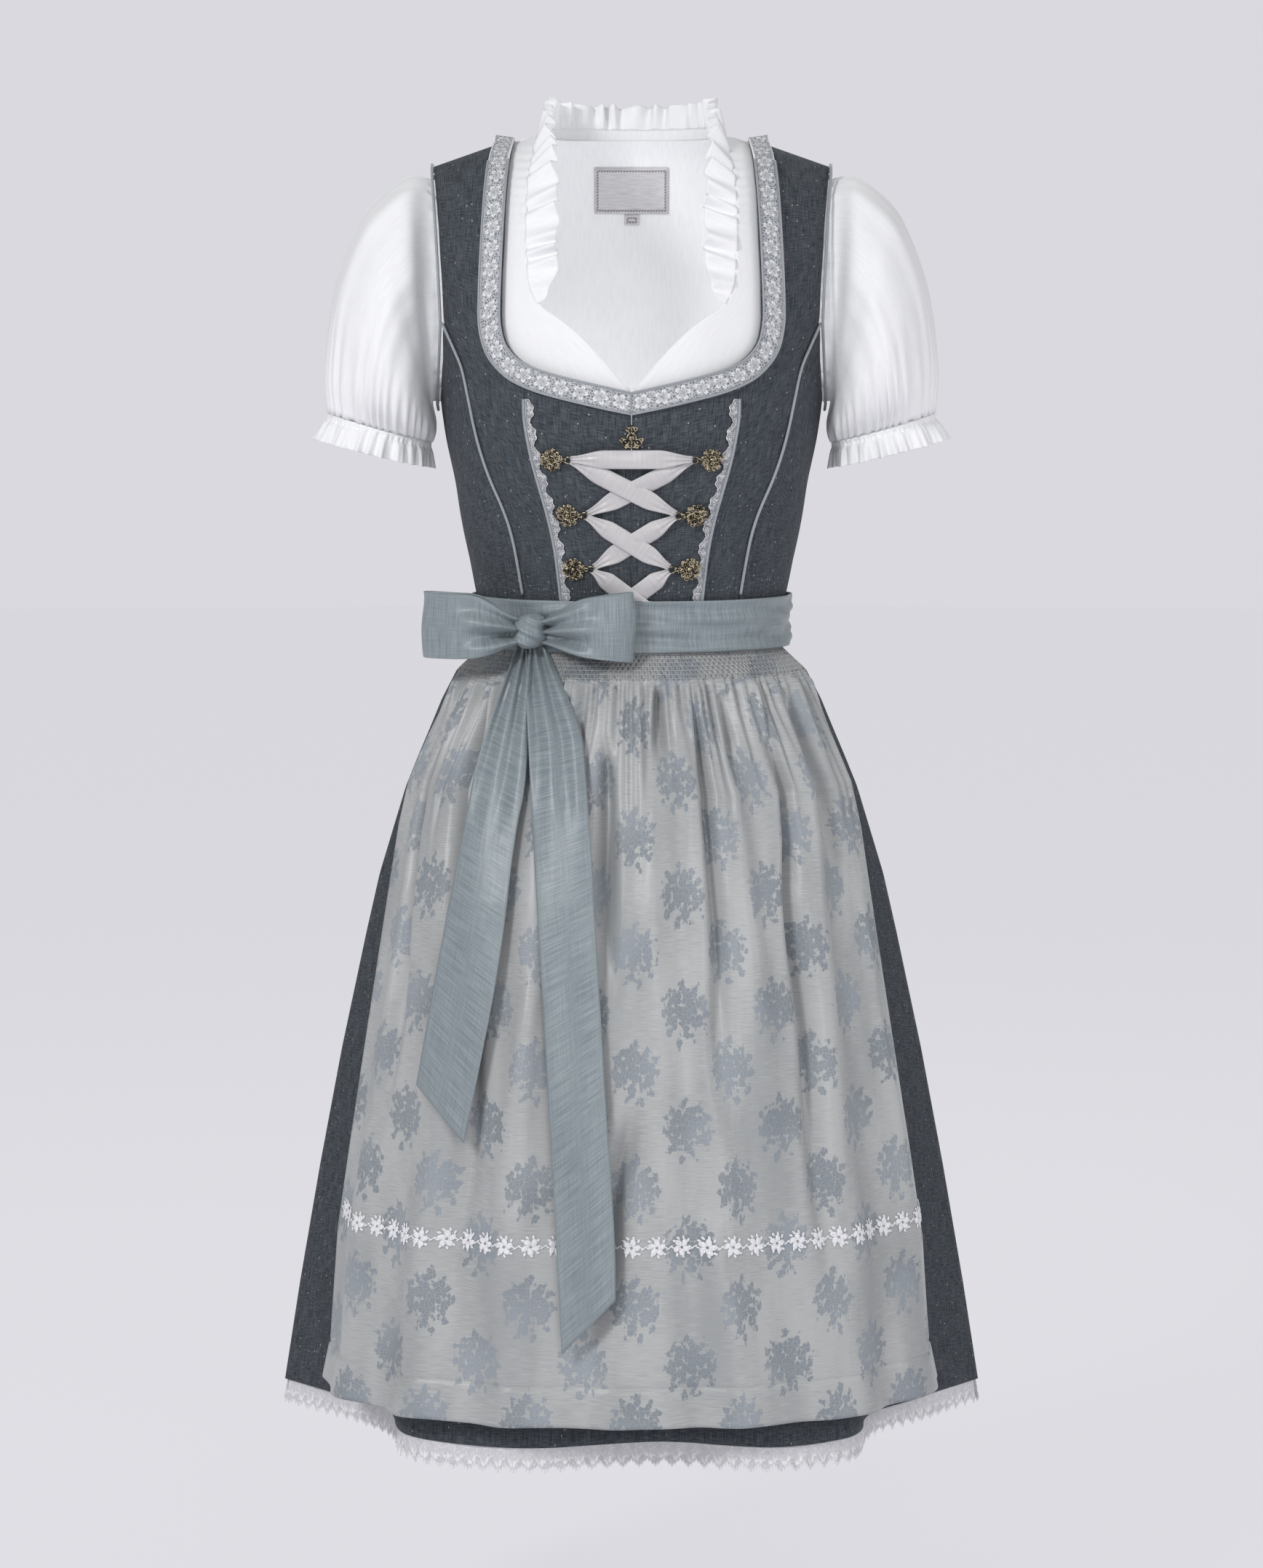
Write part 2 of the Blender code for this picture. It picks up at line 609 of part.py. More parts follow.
# Apron: height and half width at its side edges
APRON_SIDES = np.array([
    (-1.016, 0.2570), (-0.985, 0.2503), (-0.893, 0.2442), (-0.817, 0.2326), (-0.619, 0.2010),
    (-0.560, 0.1917), (-0.5235, 0.1835), (-0.4867, 0.1680), (-0.4312, 0.1430), (-0.4150, 0.1245),
    (-0.392, 0.1225),
])
APRON_HEIGHTS = [-1.016, -0.985, -0.860, -0.730, -0.620, -0.540, -0.480, -0.445,
                 -0.439, -0.433, -0.427, -0.421, -0.415, -0.393]
SMOCKED = (-0.440, -0.414)
APRON_COLUMNS = 37
APRON_HEM_DEPTH = 0.268
APRON_HEM_WIDTH = 0.275
APRON_FOLDS = 7
APRON_FOLD_SWAY = 0.0045
APRON_GATHERS = 12
GATHER_SWAY = 0.0010
TRIM_BAND = (-0.8825, -0.8675)

# Bow: each loop's path in plan from the knot round its tip and back; distance, depth
LOOP_PATHS = {
    "right": [(-0.0966, -0.1025), (-0.112, -0.114), (-0.130, -0.116), (-0.148, -0.108),
              (-0.162, -0.094), (-0.1710, -0.080), (-0.168, -0.070), (-0.152, -0.075),
              (-0.133, -0.082), (-0.115, -0.088), (-0.0980, -0.0955)],
    "left": [(-0.0674, -0.1025), (-0.054, -0.124), (-0.038, -0.136), (-0.020, -0.138),
             (-0.006, -0.134), (0.003, -0.126), (-0.002, -0.1195), (-0.018, -0.1205),
             (-0.036, -0.1185), (-0.052, -0.1120), (-0.0668, -0.0995)],
}
# Each loop's lower and upper edge height at the knot, near it and at its tip
LOOP_EDGES = {
    "right": ((-0.4090, -0.4180, -0.4195), (-0.3845, -0.3670, -0.3657)),
    "left": ((-0.4080, -0.4150, -0.4203), (-0.3850, -0.3700, -0.3626)),
}
KNOT_CENTRE = (-0.0820, -0.3965)
KNOT_HALF = (0.0142, 0.0110, 0.0142)
TAIL_TOP = -0.4125
# Each tie tail's two edges from the knot down; distance, height
TAILS = {
    "right": ([(-0.0990, TAIL_TOP), (-0.1237, -0.4927), (-0.1306, -0.5296), (-0.1520, -0.6381),
               (-0.1724, -0.7541)],
              [(-0.0835, TAIL_TOP), (-0.0832, -0.5104), (-0.0936, -0.5550), (-0.1024, -0.6374),
               (-0.1155, -0.7097), (-0.1335, -0.7956)]),
    "left": ([(-0.0820, TAIL_TOP), (-0.0818, -0.5104), (-0.0734, -0.6359), (-0.0644, -0.7816),
              (-0.0550, -0.9555)],
             [(-0.0670, TAIL_TOP), (-0.0396, -0.4697), (-0.0365, -0.4992), (-0.0317, -0.5737),
              (-0.0276, -0.6366), (-0.0203, -0.7593), (-0.0124, -0.8715), (-0.0124, -0.9130)]),
}
TAIL_OUT = 0.0062

LABEL = ((-0.0313, 0.0313), (-0.0565, -0.0185))
SIZE_TAB = ((-0.0060, 0.0065), (-0.0660, -0.0572))


def build_blouse():
    """The blouse fronts and back, its neck band, sleeves, cuff frills and neck frill."""
    side = [(float(torso_size(z)[0]), z) for z in np.linspace(BLOUSE_HEM, -0.2197, 3)]
    neck = SWEETHEART + FRILL_SEAM
    inner = [(SEAM_GAP, BLOUSE_HEM)] + [to_angle(p) for p in neck]
    outer = [to_angle(p) for p in side + BLOUSE_ARMHOLE]
    grid = patch([inner[0], outer[0]], [inner[-1], outer[-1]], softened(inner, 1), outer, 7, 14, 1.9)
    front = on_torso(from_angle(grid), out=BLOUSE_INSIDE)
    pair("blouse_front", front, "blouse_cotton")
    back = back_grid(BLOUSE_INSIDE - SEAM_GAP * 3, BODICE_BACK_COLUMNS, 10, BLOUSE_HEM, NECK_BAND_LOW + 0.0042,
                     0.0762, -0.0010, 8.0)
    cloth("blouse_back", back, "blouse_cotton")

    turn = np.linspace(NECK_BAND_START, math.pi - NECK_BAND_START, 13)
    heights = np.array([NECK_BAND_LOW, NECK_BAND_HIGH])[:, None]
    band = np.stack(np.broadcast_arrays(NECK_HALF_WIDTH * np.cos(turn)[None],
                                        0.003 + NECK_DEPTH * np.sin(turn)[None], heights), axis=2)
    cloth("blouse_neck_band", band, "blouse_cotton")
    cloth("neck_frill", frill_grid(front), "blouse_cotton", wall=TRIM)
    build_labels(back)

    sleeve = ring_grid(SLEEVE, 3 * SLEEVE_GATHERS, SLEEVE_GATHERS, (0.012, 0.02, 0.02, 0.014, 0.008, 0.010,
                                                                        0.02, 0.03))
    cuff = ring_grid(CUFF, 3 * CUFF_WAVES, CUFF_WAVES, (0.02, 0.075))
    for name, points in (("sleeve", sleeve), ("cuff_frill", cuff)):
        cloth(name + "_left", points, "blouse_cotton", closed=True)
        cloth(name + "_right", mirrored(points), "blouse_cotton", closed=True)


def ring_grid(table, columns, waves, sway):
    """Rings down a sleeve, gathered in waves; columns run from the top forwards."""
    turn = np.arange(columns) * 2 * math.pi / columns
    rows = []
    for (ox, oz, ix, iz, front, back, sink), wave in zip(table, sway):
        middle = np.array(((ox + ix) / 2, 0.0, (oz + iz) / 2))
        half = np.array(((ox - ix) / 2, 0.0, (oz - iz) / 2))
        swell = (1.0 + wave * np.cos(waves * turn))[:, None]
        depth = np.where(np.sin(turn) > 0, front, back)
        around = np.cos(turn)[:, None] * half
        around[:, 1] -= depth * np.sin(turn)
        ring_points = middle + around * swell
        ring_points[:, 0] -= sink * np.sin(turn) ** 2
        rows.append(ring_points)
    return np.array(rows)


def frill_grid(panel):
    """The neck frill: down the blouse front's edge, standing round the back, down the other."""
    seam, free = [], []
    for edge, beside in panel[:, :2]:
        if edge[2] < FRILL_FRONT[0, 0]:
            continue
        inwards, upwards, forwards = (np.interp(edge[2], FRILL_FRONT[:, 0], FRILL_FRONT[:, k])
                                      for k in (1, 2, 3))
        away = (edge - beside) / np.linalg.norm(edge - beside)
        base = edge + away * (SEAM_GAP + FRILL_SWAY / 2)
        seam.append(base)
        free.append(base + (-inwards, -forwards, upwards))
    for turn in np.radians([12, 26, 42, 60, 75, 90]):
        c, s = math.cos(turn), math.sin(turn)
        seam.append((NECK_HALF_WIDTH * c, 0.003 + NECK_DEPTH * s, NECK_BAND_HIGH + 0.0006))
        free.append((NECK_HALF_WIDTH * 0.97 * c, 0.002 + (NECK_DEPTH + 0.008) * s,
                     0.0385 - 0.006 * s))
    halves = []
    for curve in (seam, free):
        curve = softened(np.array(curve, float), 1)
        other = curve[::-1][1:] * (-1.0, 1.0, 1.0)
        halves.append(np.concatenate([curve, other]))
    columns = FRILL_WAVES * 3 + 1
    seam, free = (along(curve, columns) for curve in halves)
    reach = free - seam
    ahead = np.gradient(seam, axis=0)
    sideways = np.cross(ahead, reach)
    sideways /= np.maximum(np.linalg.norm(sideways, axis=1, keepdims=True), 1e-9)
    wave = np.sin(np.linspace(0.0, FRILL_WAVES * 2 * math.pi, columns))[:, None]
    part = np.array([0.0, 1.0])[:, None, None]
    return seam[None] + reach[None] * part + sideways[None] * wave[None] * FRILL_SWAY * part


def skirt_spread(z):
    """How far the skirt has opened at a height, from 0 at the waist to 1 at the hem."""
    half = np.interp(z, SKIRT_SIDES[:, 0], SKIRT_SIDES[:, 1])
    narrow, wide = SKIRT_SIDES[-1, 1], SKIRT_SIDES[1, 1]
    return (half - narrow) / (wide - narrow)


def skirt_ring(z, front=True):
    """Half a section of the skirt, from the waist's oval to the folded hem."""
    spread = skirt_spread(z)
    columns = FRONT_COLUMNS if front else BACK_COLUMNS
    _, depth_front, depth_back = torso_size(WAIST_SEAM)
    half = SKIRT_SIDES[-1, 1]
    turn = np.linspace(-math.pi / 2, math.pi / 2, columns)
    if front:
        hem = along(softened(HEM_FRONT, 1), columns)
        oval = np.stack([half * np.sin(turn), -depth_front * np.cos(turn)], axis=1)
    else:
        turn = -turn
        oval = np.stack([half * np.sin(turn), depth_back * np.cos(turn)], axis=1)
        sway = 1.0 + SKIRT_FOLD_SWAY / SKIRT_BACK_DEPTH * np.cos(turn * 2 * SKIRT_BACK_FOLDS)
        hem = np.stack([SKIRT_SIDES[1, 1] * np.sin(turn),
                        SKIRT_BACK_DEPTH * np.cos(turn) * sway], axis=1)
    flat = oval * (1 - spread) + hem * spread
    flat[:, 1] = np.minimum(flat[:, 1], -CLOTH) if front else np.maximum(flat[:, 1], SEAM_GAP)
    return np.column_stack([flat, np.full(columns, z)])


def build_skirt():
    """The gathered skirt's front and back, and the lace under its hem."""
    heights = [SKIRT_HEM, -0.86, -0.70, -0.58, -0.50, -0.4358, -0.416, WAIST_SEAM - SEAM_GAP]
    for name, front in (("skirt_front", True), ("skirt_back", False)):
        cloth(name, np.array([skirt_ring(z, front) for z in heights]), "chambray")
        rings = np.array([skirt_ring(z, front) for z in (LACE_HEM, LACE_TOP)])
        rings = moved_out(rings, -LACE_INSIDE)
        rings[0, 1::2, 2] += LACE_POINT
        rings[:, 0] = rings[:, 0] * LACE_REACH + rings[:, 1] * (1 - LACE_REACH)
        rings[:, -1] = rings[:, -1] * LACE_REACH + rings[:, -2] * (1 - LACE_REACH)
        cloth(name.replace("skirt", "hem_lace"), rings, "lace", wall=TRIM)


def apron_size(z):
    """The apron section's half width, depth and squareness at a height."""
    start = skirt_spread(-0.416)
    spread = np.clip((skirt_spread(z) - start) / (1.0 - start), 0.0, 1.0)
    half, depth, _ = torso_size(WAIST_SEAM)
    half = half + APRON_OUT
    depth = depth + APRON_OUT
    return (half + (APRON_HEM_WIDTH - half) * spread ** 0.8,
            depth + (APRON_HEM_DEPTH - depth) * spread ** 0.9,
            2.0 + 0.5 * spread, spread)


def apron_depth(x, z, out=0.0):
    """The depth of the apron's smooth surface at a distance and a height, moved out evenly."""
    half, depth, square, _ = apron_size(z)
    part = np.clip(np.abs(x) / (half + out), 0.0, 1.0)
    return -(depth + out) * (1.0 - part ** square) ** (1.0 / square)


def apron_grid():
    """The apron: smocked head, gathers below it and broad folds down to the hem."""
    share = np.linspace(-1.0, 1.0, APRON_COLUMNS)
    rows = []
    for number, z in enumerate(APRON_HEIGHTS):
        half, depth, square, spread = apron_size(z)
        edge = np.interp(z, APRON_SIDES[:, 0], APRON_SIDES[:, 1])
        reach = math.asin(min(1.0, edge / half))
        x = half * np.sin(share * reach)
        fold = APRON_FOLD_SWAY * spread * np.cos(share * math.pi * APRON_FOLDS)
        fade = smooth((z + 0.56) / 0.12)
        gather = GATHER_SWAY * fade * np.cos(share * math.pi * APRON_GATHERS)
        if SMOCKED[0] < z < SMOCKED[1]:
            gather = GATHER_SWAY * np.where((np.arange(APRON_COLUMNS) + number) % 2, 1.0, -1.0)
        out = fold + gather
        corner = 0.007 * spread * np.abs(share) ** 6
        y = apron_depth(x, z) - out * np.cos(share * reach)
        rows.append(np.column_stack([x + out * np.sin(share * reach), y, z + corner]))
    return np.array(rows)


def between_rows(grid, z):
    """A row of a grid at a height between its rows, with a point halfway between its columns."""
    heights = np.array(APRON_HEIGHTS)
    low = int(np.searchsorted(heights, z)) - 1
    part = (z - heights[low]) / (heights[low + 1] - heights[low])
    row = grid[low] * (1 - part) + grid[low + 1] * part
    fine = np.repeat(row, 2, axis=0)[:-1]
    fine[1::2] = (row[1:] + row[:-1]) / 2
    return fine


def build_apron():
    """The apron and the embroidered band near its hem."""
    grid = apron_grid()
    cloth("apron", grid, "jacquard")
    low, high = (between_rows(grid, z) for z in TRIM_BAND)
    petal = np.array([0.0, 1.0, 1.0])[np.arange(len(low)) % 3][:, None]
    middle = (low + high) / 2
    low = middle + (low - middle) * (0.62 + 0.38 * petal)
    high = middle + (high - middle) * (0.62 + 0.38 * petal)
    band = moved_out(np.array([low, high]), LIFT + TRIM)
    cloth("apron_flower_trim", band, "blouse_cotton", wall=TRIM)


def waist_ring(z, out, columns):
    """A full ring round the waist, its columns turning with the front from left to right."""
    turn = np.arange(columns) * 2 * math.pi / columns
    half, front, back = torso_size(WAIST_SEAM)
    depth = np.where(np.cos(turn) >= 0, front, back) + out
    return np.column_stack([(half + out) * np.sin(turn), -depth * np.cos(turn),
                            np.full(columns, z)])


def knot_depth(x):
    """The depth at which the knot just rests on the sash."""
    half, depth, _ = torso_size(WAIST_SEAM)
    half, depth = half + SASH_OUT + CLOTH, depth + SASH_OUT + CLOTH
    on_sash = -depth * math.sqrt(1.0 - (x / half) ** 2)
    facing = np.array((x / half ** 2, on_sash / depth ** 2))
    facing /= np.linalg.norm(facing)
    reach = math.hypot(facing[0] * KNOT_HALF[0], facing[1] * KNOT_HALF[1])
    return float(on_sash + reach / facing[1])


def build_tie():
    """The apron's tie: the sash round the waist, the bow's loops and knot, and the tails."""
    creases = [(SASH_BOTTOM, 0.0004), (WAIST_SEAM, 0.0), (SASH_TOP, SASH_FLARE)]
    sash = [waist_ring(z, SASH_OUT + CLOTH + out, 32) for z, out in creases]
    cloth("sash", np.array(sash), "sash_cloth", closed=True)

    for side, path in LOOP_PATHS.items():
        path = along(softened(path, 1), 17)
        reach = np.abs(path[:, 0] - path[0, 0])
        part = np.clip(reach / reach.max(), 0.0, 1.0)
        low, high = (np.interp(part, (0.0, 0.35, 1.0), edge) for edge in LOOP_EDGES[side])
        share = np.linspace(0.0, 1.0, 4)[:, None]
        height = low[None] * (1 - share) + high[None] * share
        points = np.stack(np.broadcast_arrays(path[None, :, 0], path[None, :, 1], height), axis=2)
        if side == "right":
            points = points[:, ::-1]
        cloth(f"bow_loop_{side}", points, "sash_cloth")

    mesh = bpy.data.meshes.new("bow_knot")
    build = bmesh.new()
    bmesh.ops.create_uvsphere(build, u_segments=14, v_segments=8, radius=1.0)
    bmesh.ops.scale(build, vec=KNOT_HALF, verts=build.verts)
    build.to_mesh(mesh)
    build.free()
    mesh.shade_smooth()
    knot = add_mesh("bow_knot", mesh, "sash_cloth")
    x, z = KNOT_CENTRE
    knot.location = (x, knot_depth(x), z)

    for side, (left, right) in TAILS.items():
        grid = patch([left[-1], right[-1]], [left[0], right[0]], left[::-1], right[::-1], 4, 13, 1.8)
        x, z = grid[..., 0], grid[..., 1]
        spread = apron_size(z)[3]
        y = apron_depth(x, z, TAIL_OUT + 1.4 * APRON_FOLD_SWAY * spread)
        cloth(f"tie_tail_{side}", np.stack([x, y, z], axis=2), "sash_cloth")


def on_panel(grid, x, z):
    """The place on a panel's faces at a distance from the middle and a height."""
    order = np.argsort(grid[0, :, 0])
    rows = grid[:, order]
    heights = [np.interp(x, row[:, 0], row[:, 2]) for row in rows]
    depths = [np.interp(x, row[:, 0], row[:, 1]) for row in rows]
    return (x, float(np.interp(z, heights, depths)), z)


def build_labels(back):
    """The woven label inside the back neck and the size tab under it, both without words."""
    inwards = np.array((0.0, -2 * CLOTH, 0.0))
    for name, ((left, right), (low, high)) in (("neck_label", LABEL), ("size_tab", SIZE_TAB)):
        columns = 7 if name == "neck_label" else 3
        points = [[on_panel(back, x, z) + inwards for x in np.linspace(right, left, columns)]
                  for z in np.linspace(low, high, 4)]
        cloth(name, np.array(points), "label_weave", wall=TRIM)


clear_scene()
build_bodice()
build_bodice_trims()
build_lacing()
build_blouse()
build_skirt()
build_apron()
build_tie()
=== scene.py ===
"""The dirndl outfit dressed for the camera: cloth, lace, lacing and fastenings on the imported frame.

Metres, +Z up, the front faces -Y, the origin on the shoulder level midway between the shoulders.
Each sub-assembly is a class with its sizes as fields. Cloth lies on the torso, skirt and apron
surfaces, and its UV map "cloth" is in metres of flat cloth, so a weave has its true size.
"""

import logging
import math
from dataclasses import dataclass, field, replace
from enum import Enum
from typing import Any, Iterable, Sequence

import bpy
import numpy as np
from mathutils import Matrix, Vector


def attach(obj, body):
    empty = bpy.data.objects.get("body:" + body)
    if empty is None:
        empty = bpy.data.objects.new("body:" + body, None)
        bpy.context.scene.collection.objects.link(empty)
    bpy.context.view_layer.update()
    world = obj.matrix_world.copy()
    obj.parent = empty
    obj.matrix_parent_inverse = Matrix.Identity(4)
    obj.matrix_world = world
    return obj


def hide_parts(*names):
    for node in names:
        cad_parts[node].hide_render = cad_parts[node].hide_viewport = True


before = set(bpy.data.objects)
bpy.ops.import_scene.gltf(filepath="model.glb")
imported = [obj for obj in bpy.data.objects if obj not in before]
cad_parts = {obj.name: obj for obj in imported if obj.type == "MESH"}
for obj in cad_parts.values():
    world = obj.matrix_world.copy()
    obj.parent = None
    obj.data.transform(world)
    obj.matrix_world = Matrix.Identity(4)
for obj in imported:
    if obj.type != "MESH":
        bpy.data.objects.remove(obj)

LOG = logging.getLogger("dirndl")
Array = np.ndarray
Colour = tuple[float, float, float]
Place = tuple[float, float, float]
Curve2 = Sequence[tuple[float, float]]

LIFT = 0.0004
CLOTH_WALL = 0.0008
DRESS_WALL = 0.0010
FINE_WALL = 0.0006
RIBBON_WALL = 0.0005
ARMHOLE_FOOT = -0.2197
WAIST_SEAM = -0.392
SASH_TOP = -0.372
SASH_BOTTOM = -0.414


class Held(Enum):
    """How a piece of cloth is held."""

    DRAPED = "draped"
    HUNG = "hung"
    GATHERED = "gathered"
    FOLDED = "folded"
    STRETCHED = "stretched"


class Side(Enum):
    """A side of the garment; LEFT is the wearer's left, at +X."""

    LEFT = 1.0
    RIGHT = -1.0

    @property
    def tag(self) -> str:
        """The side's ending in a piece's name."""
        return self.name.lower()


class Wire:
    """Writes the nodes of one material and wires them to its Principled shader."""

    def __init__(self, name: str) -> None:
        """Starts a new material.

        Args:
            name: The material's name.
        """
        self.material = bpy.data.materials.new(name)
        self.material.use_nodes = True
        self.tree = self.material.node_tree
        self.shader = self.tree.nodes["Principled BSDF"]

    def put(self, socket: Any, value: Any) -> None:
        """Links an output to a socket, or sets the socket to a number or colour."""
        if isinstance(value, bpy.types.NodeSocket):
            self.tree.links.new(value, socket)
        elif isinstance(value, tuple) and len(value) == 3 and socket.type == "RGBA":
            socket.default_value = (*value, 1.0)
        else:
            socket.default_value = value

    def node(self, kind: str, **settings: Any) -> Any:
        """Adds a node and sets its properties.

        Args:
            kind: The node's type without its ShaderNode beginning.
            **settings: Properties of the node.

        Returns:
            The new node.
        """
        made = self.tree.nodes.new("ShaderNode" + kind)
        for key, value in settings.items():
            setattr(made, key, value)
        return made

    def sum(self, operation: str, *values: Any, clamp: bool = False) -> Any:
        """One Math node.

        Args:
            operation: The node's operation.
            *values: Its inputs, numbers or outputs.
            clamp: Whether the result stays in 0 to 1.

        Returns:
            The node's output.
        """
        made = self.node("Math", operation=operation, use_clamp=clamp)
        for socket, value in zip(made.inputs, values):
            self.put(socket, value)
        return made.outputs[0]

    def ramp(self, value: Any, low: float, high: float) -> Any:
        """A smooth step from 0 to 1 as a value goes from one limit to another.

        Args:
            value: The output that is read.
            low: Where the step starts.
            high: Where it ends.

        Returns:
            The step's output.
        """
        made = self.node("MapRange", interpolation_type="SMOOTHSTEP")
        for socket, number in zip(made.inputs[:3], (value, low, high)):
            self.put(socket, number)
        return made.outputs[0]

    def blend(self, part: Any, first: Any, second: Any) -> Any:
        """A mix of two colours.

        Args:
            part: How much of the second, 0 to 1.
            first: The first colour.
            second: The second colour.

        Returns:
            The mixed colour's output.
        """
        made = self.node("Mix", data_type="RGBA")
        self.put(made.inputs[0], part)
        self.put(made.inputs[6], first)
        self.put(made.inputs[7], second)
        return made.outputs[2]

    def cloth_place(self) -> Any:
        """The place on the flat cloth, in metres."""
        return self.node("UVMap", uv_map="cloth").outputs[0]

    def object_place(self) -> Any:
        """The place in the garment's frame, in metres."""
        return self.node("TexCoord").outputs["Object"]

    def scaled(self, place: Any, scale: tuple[float, float, float],
               shift: tuple[float, float, float] = (0.0, 0.0, 0.0)) -> Any:
        """A place stretched and moved before a pattern reads it.

        Args:
            place: The place's output.
            scale: Repeats to the metre each way.
            shift: Move after the scale.

        Returns:
            The new place's output.
        """
        made = self.node("Mapping")
        self.put(made.inputs[0], place)
        made.inputs[1].default_value = shift
        made.inputs[3].default_value = scale
        return made.outputs[0]

    def noise(self, place: Any, detail: float = 2.0, rough: float = 0.5) -> Any:
        """A noise pattern's value.

        Args:
            place: The place it is read at.
            detail: How many finer layers it has.
            rough: How strong those are.

        Returns:
            The value's output, about 0.5 in the middle.
        """
        made = self.node("TexNoise")
        self.put(made.inputs["Vector"], place)
        made.inputs["Scale"].default_value = 1.0
        made.inputs["Detail"].default_value = detail
        made.inputs["Roughness"].default_value = rough
        return made.outputs[0]

    def cells(self, place: Any, feature: str = "F1") -> Any:
        """A cell pattern's distance.

        Args:
            place: The place it is read at.
            feature: Which distance it gives.

        Returns:
            The distance's output.
        """
        made = self.node("TexVoronoi", feature=feature, voronoi_dimensions="2D")
        self.put(made.inputs["Vector"], place)
        made.inputs["Scale"].default_value = 1.0
        return made.outputs["Distance"]

    def split(self, place: Any) -> tuple[Any, Any]:
        """The first two parts of a place."""
        made = self.node("SeparateXYZ")
        self.put(made.inputs[0], place)
        return made.outputs[0], made.outputs[1]

    def threads(self, place: Any, across: float, up: float) -> Any:
        """A plain weave's height: threads that pass over each other in turn.

        Args:
            place: The place on the flat cloth.
            across: Threads to the metre across.
            up: Threads to the metre along.

        Returns:
            The height's output, 0 to 1.
        """
        x, y = self.split(place)
        first = self.sum("SINE", self.sum("MULTIPLY", x, across * math.pi))
        second = self.sum("SINE", self.sum("MULTIPLY", y, up * math.pi))
        return self.sum("MULTIPLY_ADD", self.sum("MULTIPLY", first, second), 0.5, 0.5)

    def bump(self, height: Any, strength: float, distance: float) -> None:
        """Raises the surface by a height; a second bump is laid on the first."""
        made = self.node("Bump")
        made.inputs["Strength"].default_value = strength
        made.inputs["Distance"].default_value = distance
        self.put(made.inputs["Height"], height)
        socket = self.shader.inputs["Normal"]
        if socket.is_linked:
            self.put(made.inputs["Normal"], socket.links[0].from_socket)
        self.put(socket, made.outputs[0])

    def colour(self, value: Any) -> None:
        """Sets or links the shader's base colour."""
        self.put(self.shader.inputs["Base Color"], value)

    def shine(self, **values: float) -> None:
        """Sets numbers on the shader's own sockets, spaces in their names written as underscores."""
        for key, value in values.items():
            self.shader.inputs[key.replace("_", " ")].default_value = value


@dataclass(frozen=True)
class Chambray:
    """Slate chambray with slubs both ways, a fine weave and scattered pale and rust flecks."""

    dark: Colour = (0.028, 0.035, 0.043)
    light: Colour = (0.094, 0.106, 0.121)
    pale_fleck: Colour = (0.36, 0.36, 0.35)
    rust_fleck: Colour = (0.17, 0.10, 0.065)
    threads: float = 1500.0

    def make(self) -> bpy.types.Material:
        """Builds the material."""
        w = Wire("chambray")
        place = w.cloth_place()
        warp = w.noise(w.scaled(place, (1100.0, 70.0, 1.0)), detail=3.0)
        weft = w.noise(w.scaled(place, (110.0, 1100.0, 1.0)), detail=3.0)
        streaks = w.sum("MULTIPLY", w.sum("ADD", warp, weft), 0.5)
        worn = w.noise(w.scaled(place, (60.0, 38.0, 1.0)), detail=4.0)
        tone = w.sum("MULTIPLY_ADD", worn, 0.3, w.sum("SUBTRACT", w.ramp(streaks, 0.36, 0.66), 0.15))
        cloth = w.blend(w.sum("MULTIPLY", tone, 1.0, clamp=True), self.dark, self.light)
        spots = w.cells(w.scaled(place, (105.0, 84.0, 1.0)))
        kept = w.ramp(w.noise(w.scaled(place, (70.0, 63.0, 1.0), shift=(3.1, 7.7, 0.0))), 0.50, 0.54)
        fleck = w.sum("MULTIPLY", w.ramp(spots, 0.075, 0.040), kept)
        kind = w.ramp(w.noise(w.scaled(place, (51.0, 44.0, 1.0), shift=(9.0, 2.0, 0.0))), 0.49, 0.53)
        w.colour(w.blend(fleck, cloth, w.blend(kind, self.rust_fleck, self.pale_fleck)))
        w.shine(Roughness=0.90, Sheen_Weight=0.04, Sheen_Roughness=0.5, Specular_IOR_Level=0.18)
        w.bump(w.threads(place, self.threads, self.threads), 0.35, 0.00012)
        w.bump(w.sum("ADD", streaks, w.sum("MULTIPLY", fleck, 0.6)), 0.45, 0.00035)
        return w.material


@dataclass(frozen=True)
class BlouseCotton:
    """Fine white cotton with a faint weave and soft creases."""

    white: Colour = (0.86, 0.865, 0.88)
    shade: Colour = (0.82, 0.825, 0.845)
    threads: float = 2200.0

    def make(self) -> bpy.types.Material:
        """Builds the material."""
        w = Wire("blouse_cotton")
        place = w.cloth_place()
        streaks = w.noise(w.scaled(place, (500.0, 60.0, 1.0)), detail=2.0)
        w.colour(w.blend(w.ramp(streaks, 0.35, 0.75), self.white, self.shade))
        w.shine(Roughness=0.78, Sheen_Weight=0.12, Sheen_Roughness=0.4, Specular_IOR_Level=0.3)
        w.bump(w.threads(place, self.threads, self.threads), 0.25, 0.00008)
        creases = w.noise(w.scaled(w.object_place(), (26.0, 26.0, 9.0)), detail=3.0, rough=0.55)
        w.bump(creases, 0.30, 0.0024)
        return w.material


